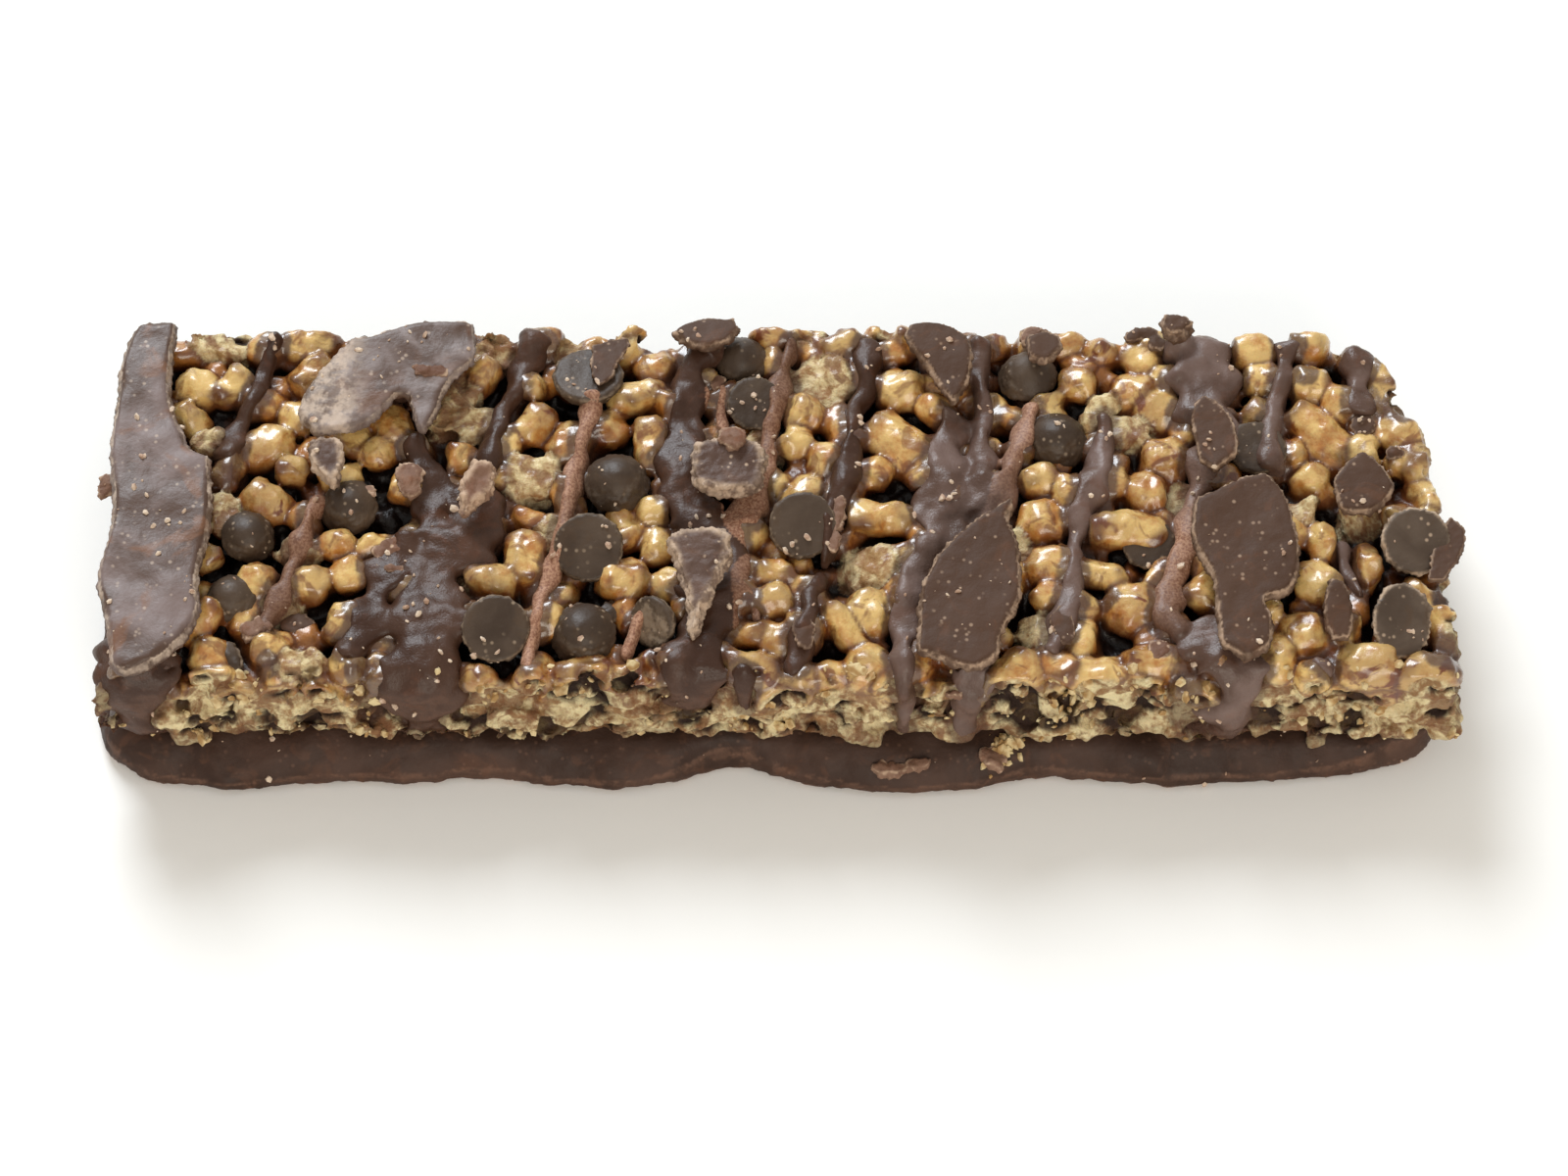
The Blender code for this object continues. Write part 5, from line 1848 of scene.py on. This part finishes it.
    def store_rust(self, mesh: Mesh, runs: Sequence[Run]) -> None:
        """Stores how rusty each point is, from the run that it belongs to.

        Args:
            mesh: the melted runs.
            runs: the runs.
        """
        centres, rust = [], []
        for run in runs:
            path, _, _ = self.route(run)
            centres.append(path)
            rust.append(np.interp(
                np.linspace(0, 1, len(path)), np.linspace(0, 1, len(run.rust)), run.rust))
        values, finder = np.concatenate(rust), finder_of(np.concatenate(centres))
        store(mesh, "rust", np.array([values[finder.find(point)[1]] for point in points_of(mesh)]))

    def build(
        self, name: str, runs: Sequence[Run], ground: Ground, material: Finish
    ) -> Piece:
        """Makes one piece of several runs, melted together where they meet.

        Args:
            name: the piece's name.
            runs: its runs.
            ground: what they lie on.
            material: its finish.

        Returns:
            The piece.
        """
        points: list[tuple] = []
        faces: list[tuple] = []
        for run in runs:
            more_points, more_faces = self.loft(run, ground, len(points))
            points += more_points
            faces += more_faces
        piece = new_piece(name, np.array(points), faces)
        shape = shape_of([piece])
        bmesh.ops.recalc_face_normals(shape, faces=shape.faces)
        shape.to_mesh(piece.data)
        shape.free()
        even_out(piece, self.voxel)
        soften(piece, self.soft_share, self.soft_rounds)
        relief_tree().attach(
            piece, Ripple_size=self.ripple_size * MM, Ripple_height=self.ripple_height * MM,
            Grain_size=self.grain_size * MM, Grain_height=self.grain_height * MM, Seed=2.0, Material=material)
        settle(piece)
        facing = np.abs(normals_of(piece.data)[:, 2])
        store(piece.data, "rim", 1 - smooth_step(facing, *self.rim_steps))
        self.store_rust(piece.data, runs)
        piece.data.shade_smooth()
        return piece


@dataclass
class SetPiece:
    """A chip, patch or lump, made finer from the copy of its solid."""

    node: str
    finish: Chocolate
    slot: Slot
    voxel: float = 0.17
    rounds: int = 2
    ripple: float = 0.05
    ripple_size: float = 1.2
    grain: float = 0.02
    grain_size: float = 0.4
    bend: float = 0.18
    bend_size: float = 4.0
    torn: float = 0.24
    torn_size: float = 0.8
    weld: float = 0.001
    crease: float = 0.85
    crease_from: float = 40.0
    up_from: float = 0.6
    steep_below: float = 0.55
    rim_from: float = 0.03
    rim_width: float = 0.2
    side_rim: float = 0.15
    line_steps: Span = (0.25, 0.5)
    rim_share: float = 1.0
    worn: Span | None = None
    worn_torn: float = 0.3
    worn_pale: float = 0.75
    floor: float = -1.0

    def build(self, solid: Piece, material: Finish, seed: float) -> Piece:
        """Makes the piece.

        Args:
            solid: the CAD node's object.
            material: its finish.
            seed: which noise roughens it.

        Returns:
            The piece.
        """
        shape = shape_of([solid])
        bmesh.ops.remove_doubles(shape, verts=shape.verts, dist=self.weld * MM)
        bmesh.ops.dissolve_limit(shape, angle_limit=math.radians(1), verts=shape.verts, edges=shape.edges)
        creases = shape.edges.layers.float.new("crease_edge")
        for edge in shape.edges:
            if edge.is_manifold and edge.calc_face_angle(0) > math.radians(self.crease_from):
                edge[creases] = self.crease
        piece = piece_of(shape, self.node + "_fine")
        rounded = piece.modifiers.new("rounded", "SUBSURF")
        rounded.levels = rounded.render_levels = self.rounds
        self.finished(piece, self.up_of(solid.data), material, seed)
        return piece

    def finished(
        self, piece: Piece, up: Vector, material: Finish, seed: float
    ) -> None:
        """Evens out a piece's faces, tears its rim and dresses it.

        Args:
            piece: the object.
            up: the direction that its top faces.
            material: its finish.
            seed: which noise roughens it.
        """
        even_out(piece, self.voxel)
        settle(piece)
        self.store_rim(piece.data, up)
        relief_tree().attach(
            piece, Ripple_size=self.ripple_size * MM, Ripple_height=self.ripple * MM,
            Grain_size=self.grain_size * MM, Grain_height=self.grain * MM,
            Bend_size=self.bend_size * MM, Bend_height=self.bend * MM,
            Torn_size=self.torn_size * MM, Torn_height=self.torn * MM, Seed=seed, Material=material)
        settle(piece)
        points = points_of(piece.data)
        points[:, 2] = np.maximum(points[:, 2], self.floor)
        set_points(piece.data, points)
        piece.data.shade_smooth()

    def up_of(self, mesh: Mesh) -> Vector:
        """The direction that the solid's top faces.

        Args:
            mesh: the solid's mesh.

        Returns:
            The direction.
        """
        total = Vector((0, 0, 0))
        for polygon in mesh.polygons:
            if polygon.normal.z > self.up_from:
                total += polygon.normal * polygon.area
        return total.normalized()

    def store_rim(self, mesh: Mesh, up: Vector) -> None:
        """Stores the piece's edge, which is torn, and the line along its top, which is pale.

        Args:
            mesh: the mesh.
            up: the direction that its top faces.
        """
        points, facing = points_of(mesh), normals_of(mesh) @ np.array(up)
        steep = facing < self.steep_below
        finder = finder_of(points[steep])
        away = np.array([0.0 if edge else finder.find(point)[2] for point, edge in zip(points, steep)])
        edge = 1 - smooth_step(away, self.rim_from, self.rim_width)
        worn = 0.0 if self.worn is None else smooth_step(-points[:, 0], *self.worn)
        store(mesh, "edge", np.maximum(edge, worn * self.worn_torn))
        line = self.side_rim + (1 - self.side_rim) * smooth_step(facing, *self.line_steps)
        store(mesh, "rim", np.maximum(worn * self.worn_pale, edge * line * self.rim_share))


@dataclass(frozen=True)
class Scrap:
    """A small broken bit: its centre, half sizes, height, turn in degrees, and its level if it hangs."""

    x: float
    y: float
    long: float
    wide: float
    tall: float
    turn: float = 0.0
    level: float | None = None


@dataclass(frozen=True)
class Sheet:
    """A thin flake, by its outline, the height of its underside where y is 0, and its rise along y."""

    outline: tuple[tuple[float, float], ...]
    level: float
    thick: float = 0.5
    slope: float = 0.0


ROUGH_SCRAPS = (
    Scrap(-30.3, 1.7, 1.1, 1.8, 0.9, 5), Scrap(-32.0, -4.4, 1.3, 1.0, 0.8, 20),
    Scrap(-28.8, 11.5, 1.5, 0.7, 0.6, -10), Scrap(-42.6, -12.1, 1.4, 1.1, 0.9, 10),
    Scrap(-4.7, 11.9, 0.7, 0.7, 0.6), Scrap(-3.5, 4.1, 1.2, 0.9, 0.9, 15),
    Scrap(22.2, 16.2, 1.4, 0.8, 0.8), Scrap(31.5, -14.3, 0.8, 0.9, 0.6),
    Scrap(5.2, -1.6, 0.8, 1.5, 0.8, -8), Scrap(4.8, -4.2, 0.7, 1.0, 0.7, 10),
    Scrap(-33.8, 1.2, 0.6, 0.5, 0.4), Scrap(-55.6, 1.2, 0.8, 1.1, 0.8, 10, 12.6),
    Scrap(-31.4, -6.6, 0.7, 0.5, 0.5), Scrap(14.6, -17.4, 0.7, 0.4, 0.6),
    Scrap(9.4, -20.1, 1.6, 0.6, 1.0), Scrap(11.6, -19.8, 0.9, 0.6, 1.1, 20),
    Scrap(18.2, -19.3, 1.0, 0.9, 1.0),
)
FLAT_SCRAPS = (
    Scrap(-39.2, -11.2, 1.4, 1.1, 0.5, -15), Scrap(12.4, 8.2, 0.8, 1.6, 0.5, 12),
    Scrap(49.4, 8.0, 1.0, 1.5, 0.5, -15), Scrap(2.5, -13.2, 0.9, 1.6, 0.5, 5),
    Scrap(23.6, -12.3, 1.0, 1.8, 0.5, 8), Scrap(51.6, 4.6, 0.8, 0.6, 0.4, 20),
    Scrap(31.0, 16.9, 1.5, 0.8, 0.8, 10), Scrap(32.3, 15.9, 1.0, 0.7, 0.8, -20),
)
DARK_SCRAPS = (
    Scrap(-44.4, -14.6, 0.9, 1.3, 0.9, 15), Scrap(-13.8, -10.2, 1.3, 1.0, 0.9, 20),
)
SHEETS = (
    Sheet(((-15.4, 14.8), (-13.9, 15.4), (-12.4, 15.7), (-12.2, 14.9), (-12.6, 14.0), (-13.2, 13.0),
           (-13.6, 11.4), (-14.3, 10.6), (-15.0, 10.4), (-15.5, 12.0)), level=15.3, thick=0.45, slope=-0.14),
    Sheet(((55.9, -2.0), (57.0, -3.2), (57.0, -4.4), (56.2, -6.3), (54.9, -8.2), (53.6, -8.2), (54.4, -4.8)),
          level=12.6),
)


@dataclass
class Scraps:
    """Small broken bits that lie on the bar."""

    recipe: SetPiece
    sink: float = 0.35
    lump_size: float = 1.3
    lump_height: float = 0.4
    flatness: float = 0.6
    half_height: float = 0.55
    seed: float = 5.0

    def build(
        self, name: str, scraps: Sequence[Scrap], sheets: Sequence[Sheet], ground: Ground,
        material: Finish
    ) -> Piece:
        """Makes one piece of several bits.

        Args:
            name: the piece's name.
            scraps: its rounded bits.
            sheets: its thin flakes.
            ground: what the bits lie on.
            material: their finish.

        Returns:
            The piece.
        """
        shape = bmesh.new()
        for scrap in scraps:
            self.add_bit(shape, scrap, ground)
        for sheet in sheets:
            self.add_sheet(shape, sheet)
        piece = piece_of(shape, name)
        self.recipe.finished(piece, Vector((0, 0, 1)), material, self.seed)
        return piece

    def add_bit(self, shape: Shape, scrap: Scrap, ground: Ground) -> None:
        """Adds a lumpy bit that lies on the ground.

        Args:
            shape: the mesh that it is added to.
            scrap: the bit.
            ground: what it lies on.
        """
        level = ground.top(scrap.x, scrap.y) if scrap.level is None else scrap.level
        turn = Matrix.Rotation(math.radians(scrap.turn), 3, "Z")
        made = bmesh.ops.create_icosphere(shape, subdivisions=4, radius=1.0)
        for vertex in made["verts"]:
            x, y, z = vertex.co
            z = math.copysign(abs(z) ** self.flatness, z)
            local = turn @ Vector((x * scrap.long, y * scrap.wide, 0))
            seat = Vector((scrap.x, scrap.y, level + scrap.tall * 0.5 - self.sink)) + local
            seat.z += z * scrap.tall * self.half_height
            out = Vector((local.x, local.y, 0.3 * z * scrap.tall)).normalized()
            lump = noise.noise(seat / self.lump_size) + 0.5 * noise.noise(seat * 2.1 / self.lump_size)
            vertex.co = (seat + out * lump * self.lump_height) * MM

    @staticmethod
    def add_sheet(shape: Shape, sheet: Sheet) -> None:
        """Adds a thin flake.

        Args:
            shape: the mesh that it is added to.
            sheet: the flake.
        """
        rings = []
        for level in (sheet.level, sheet.level + sheet.thick):
            corners = [Vector((x, y, level + sheet.slope * y)) * MM for x, y in sheet.outline]
            rings.append([shape.verts.new(corner) for corner in corners])
        low, high = rings
        faces = [shape.faces.new(low), shape.faces.new(high)]
        for index in range(len(low)):
            after = (index + 1) % len(low)
            faces.append(shape.faces.new((low[index], low[after], high[after], high[index])))
        bmesh.ops.recalc_face_normals(shape, faces=faces)


@dataclass
class CrumbScatter:
    """Fine crumbs on what faces up or out."""

    name: str
    size: float
    density: float
    cluster: float
    seed: int
    facing: Span = (0.35, 0.8)
    less_on_walls: float = 0.25
    unevenness: float = 0.45
    bump_pitch: float = 2.3

    def build(
        self, hosts: Sequence[Piece], material: Finish,
        keep: Callable[[np.ndarray], np.ndarray]
    ) -> Piece:
        """Strews the crumbs.

        Args:
            hosts: the pieces that they lie on.
            material: their finish.
            keep: how thickly each of the hosts' points is strewn.

        Returns:
            The crumbs as one piece.
        """
        piece = piece_of(shape_of(hosts), self.name)
        rows, normals = points_of(piece.data), normals_of(piece.data)
        facing = smooth_step(np.maximum(normals[:, 2], -normals[:, 1] - self.less_on_walls), *self.facing)
        store(piece.data, "strew", facing * keep(rows))
        shape = bmesh.new()
        bmesh.ops.create_icosphere(shape, subdivisions=1, radius=1.0)
        for vertex in shape.verts:
            vertex.co *= 1 + self.unevenness * noise.noise(vertex.co * self.bump_pitch)
        crumb = piece_of(shape, "one_crumb")
        crumb_tree().attach(
            piece, Crumb=crumb, Material=material, Size=self.size * MM, Density=self.density / MM**2,
            Cluster=self.cluster * MM, Seed=self.seed)
        settle(piece)
        bpy.data.objects.remove(crumb)
        return piece


@dataclass(frozen=True)
class Lamp:
    """A soft square lamp that faces the bar, in metres and watts."""

    name: str
    place: tuple[float, float, float]
    power: float
    colour: tuple[float, float, float]
    size: float = 0.4

    def build(self) -> None:
        """Puts the lamp in its place."""
        data = bpy.data.lights.new(self.name, "AREA")
        data.size, data.energy, data.color = self.size, self.power, self.colour
        lamp = linked(self.name, data)
        lamp.location = self.place
        lamp.rotation_euler = (-Vector(self.place)).to_track_quat("-Z", "Y").to_euler()


@dataclass
class Studio:
    """Table, light and camera."""

    elevation: float = 58.0
    distance: float = 0.44
    target: tuple[float, float, float] = (0.00075, -0.00582, 0.008)
    lens: float = 121.5
    sensor: float = 36.0
    clip: Span = (0.01, 10.0)
    table_half: float = 1.5
    sky: Colour = (1.0, 0.985, 0.95, 1.0)
    sky_strength: float = 0.52
    lamps: tuple[Lamp, ...] = (
        Lamp("window", (-0.24, 0.69, 0.58), 8.5, (0.86, 0.93, 1.0)),
        Lamp("warm_front", (0.1, -0.66, 0.4), 2.5, (1.0, 0.93, 0.82)),
    )

    def build(self) -> None:
        """Sets the table, the lights and the camera."""
        half = self.table_half / MM
        corners = ((-half, -half, 0), (half, -half, 0), (half, half, 0), (-half, half, 0))
        table = new_piece("table", np.array(corners), [(0, 1, 2, 3)])
        table.data.materials.append(TableTop().build())
        world = bpy.data.worlds.new("soft_white")
        bpy.context.scene.world = world
        world.use_nodes = True
        sky = world.node_tree.nodes["Background"].inputs
        sky["Color"].default_value, sky["Strength"].default_value = self.sky, self.sky_strength
        for lamp in self.lamps:
            lamp.build()
        self.aim()

    def aim(self) -> None:
        """Sets the camera at its distance from the target, turned towards it."""
        camera = linked("camera", bpy.data.cameras.new("camera"))
        lean = math.radians(self.elevation)
        back = Vector((0, -math.cos(lean), math.sin(lean)))
        camera.location = Vector(self.target) + back * self.distance
        camera.rotation_euler = (-back).to_track_quat("-Z", "Y").to_euler()
        camera.data.lens, camera.data.sensor_width = self.lens, self.sensor
        camera.data.clip_start, camera.data.clip_end = self.clip
        bpy.context.scene.camera = camera
        bpy.context.scene.view_settings.view_transform = "Standard"


# Pieces that lie flat on the crisps, by how their names start.
FLAT_NAMES = ("patch", "lump", "end")


@dataclass
class Bar:
    """The whole bar, piece by piece."""

    nodes: dict[str, Piece]
    base_share: float = 0.25
    face_front: float = -15.6
    face_top: float = 12.4
    face_left: float = -54.0
    spill_x: float = 18.8
    spill_front: float = -16.8
    spill_reach: float = 1.8
    spill_foot: float = 1.6
    spill_weight: float = 28.0

    def dress(self, piece: Piece, slot: Slot, *nodes: str) -> Piece:
        """Ties a finished piece to the frame and reports it.

        Args:
            piece: the piece.
            slot: the record's slot; it is not used.
            *nodes: the solids that it stands for.

        Returns:
            The piece.
        """
        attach(piece, BODY)
        if nodes:
            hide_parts(*nodes)
        triangles = sum(len(polygon.vertices) - 2 for polygon in piece.data.polygons)
        log.info("%s: %d triangles", piece.name, triangles)
        return piece

    @staticmethod
    def recipe(name: str) -> SetPiece:
        """Chooses how a node's piece is made.

        Args:
            name: the node.

        Returns:
            The recipe for it.
        """
        if name.startswith("chip"):
            chip = SetPiece(name, DARK_CHIP, Slot.DARK, crease=0.6, bend=0.05, torn=0.15)
            if name in DOMED_CHIPS:
                chip = replace(chip, crease=0.2, rim_share=0.15)
            if name in RIMMED_CHIPS:
                chip = replace(chip, finish=RIMMED_CHIP, torn=0.3, rim_width=0.35, side_rim=0.4)
            return chip
        if name.startswith("lump"):
            look = LUMP_LOOKS.get(name, ROUGH_LUMP)
            smooth = look == FLAT_MILK
            return SetPiece(
                name, look, Slot.MILK, ripple=0.26, ripple_size=1.7, grain=0.13, grain_size=0.5, torn=0.3,
                crease=0.5, rim_width=0.2 if smooth else 0.7, side_rim=0.1 if smooth else 0.6)
        if name in ("end_coat", "patch_back_left"):
            look, worn = (END_MILK, None) if name == "end_coat" else (BACK_MILK, (33.6, 36.6))
            return SetPiece(
                name, look, Slot.MILK, voxel=0.2, ripple_size=2.4, bend=0.25, rim_width=0.14, side_rim=0.04,
                worn=worn)
        if name == "chocolate_base":
            return SetPiece(
                name, BASE_COAT, Slot.MILK, voxel=0.33, ripple=0.45, ripple_size=5.0, grain=0.12,
                grain_size=1.8, bend=0.0, torn=0.08, torn_size=0.9, crease=0.0, floor=0.0)
        return SetPiece(name, FLAT_MILK, Slot.MILK)

    def set_pieces(self, looks: dict[str, Finish]) -> dict[str, Piece]:
        """Makes every chip, patch and lump, the end coat and the base.

        Args:
            looks: the finishes by name.

        Returns:
            The pieces by their node's name.
        """
        made = {}
        for number, name in enumerate(sorted(self.nodes)):
            if name != "crisp_slab":
                recipe = self.recipe(name)
                piece = recipe.build(self.nodes[name], looks[recipe.finish.name], float(number))
                made[name] = self.dress(piece, recipe.slot, name)
        return made

    def crust(self) -> tuple[Crust, list[Piece]]:
        """Makes the melted crisps, which stand for the slab together with the drizzle.

        Returns:
            The crust and its pieces.
        """
        plates = Ground(node for name, node in self.nodes.items() if name.startswith(FLAT_NAMES))
        chips = []
        for name in self.nodes:
            if name.startswith("chip"):
                low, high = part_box(name)
                middle = (low + high) / 2 / MM
                chips.append((middle.x, middle.y, (high.x - low.x) / 2 / MM))
        crust = Crust(GlazedCrust().build())
        crust.heap.settle_places(plates, chips)
        pieces = [self.dress(piece, Slot.CRISP, "crisp_slab") for piece in crust.build()]
        return crust, pieces

    def pours(self, ground: Sequence[Piece], plates: Ground) -> list[Piece]:
        """Makes the drizzle.

        Args:
            ground: the pieces that it lies on.
            plates: the flat pieces that lie on it.

        Returns:
            The poured pieces.
        """
        below, drizzle = Ground(ground), Drizzle(plates)
        # The runs on the right get the lighter copy with its painted sheen, the others the darker one.
        dull, sheeny = POURED.build(), SHEENY.build()
        groups = (
            ("drizzle_left", LEFT_RUNS, dull), ("drizzle_middle", MIDDLE_RUNS, dull),
            ("drizzle_right", RIGHT_RUNS, sheeny), ("drizzle_thin", THIN_RUNS, sheeny),
        )
        return [
            self.dress(drizzle.build(name, runs, below, look), Slot.MILK, "crisp_slab")
            for name, runs, look in groups]

    def scraps(self, ground: Ground, looks: dict[str, Finish]) -> list[Piece]:
        """Makes the small broken bits.

        Args:
            ground: what they lie on.
            looks: the finishes by name.

        Returns:
            The pieces.
        """
        made = []
        for name, scraps, sheets, finish, slot, ripple, grain in (
            ("rough_scraps", ROUGH_SCRAPS, (), ROUGH_LUMP, Slot.MILK, 0.3, 0.12),
            ("flat_scraps", FLAT_SCRAPS, SHEETS, FLAT_MILK, Slot.MILK, 0.06, 0.03),
            ("dark_scraps", DARK_SCRAPS, (), DARK_CHIP, Slot.DARK, 0.1, 0.04),
        ):
            recipe = SetPiece(name, finish, slot, voxel=0.15, ripple=ripple, grain=grain, bend=0.0)
            piece = Scraps(recipe).build(name, scraps, sheets, ground, looks[finish.name])
            made.append(self.dress(piece, slot, "crisp_slab"))
        return made

    def build(self) -> None:
        """Makes every piece in order."""
        looks = {finish.name: finish.build() for finish in FINISHES}
        solids = self.set_pieces(looks)
        crust, crusts = self.crust()
        plates = Ground(piece for name, piece in solids.items() if name.startswith(FLAT_NAMES))
        chips = [piece for name, piece in solids.items() if name.startswith("chip")]
        poured = self.pours(crusts + chips, plates)
        crust.stain(crusts, poured)
        scraps = self.scraps(Ground([*crusts, *poured, *solids.values()]), looks)
        pale = Crumbs("pale_crumbs", tint(176, 142, 118), tint(222, 200, 176)).build()
        cream = Crumbs("cream_crumbs", tint(170, 132, 80), tint(220, 198, 150)).build()
        fine = CrumbScatter("crumbs_on_chocolate", size=0.4, density=0.9, cluster=4.0, seed=4)
        face = CrumbScatter("crumbs_on_cut_face", size=0.7, density=1.5, cluster=4.0, seed=9)
        chocolate = [*solids.values(), *poured, *scraps]
        self.dress(fine.build(chocolate, pale, self.off_base), Slot.MILK)
        self.dress(face.build([*crusts, solids["chocolate_base"]], cream, self.on_cut_face), Slot.CRISP)

    def off_base(self, rows: np.ndarray) -> np.ndarray:
        """How thickly crumbs lie on chocolate, with fewer on the base."""
        return np.where(rows[:, 2] < SLAB_BOTTOM, self.base_share, 1.0)

    def on_cut_face(self, rows: np.ndarray) -> np.ndarray:
        """How thickly crumbs lie on the cut face, and on the base where they have spilled over it.

        Args:
            rows: one row a point.

        Returns:
            One weight a point.
        """
        x, y, z = rows.T
        face = (y < self.face_front) * (z < self.face_top) * (z > SLAB_BOTTOM - 0.2) * (x > self.face_left)
        spilled = (np.abs(x - self.spill_x) < self.spill_reach) * (z > self.spill_foot) * (z < SLAB_BOTTOM)
        return face * 1.0 + spilled * (y < self.spill_front) * self.spill_weight


def main() -> None:
    """Loads the frame and builds the bar and its studio."""
    logging.basicConfig(level=logging.INFO, format="%(message)s")
    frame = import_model()
    Bar(frame["nodes"]).build()
    Studio().build()


if __name__ == "__main__":
    main()
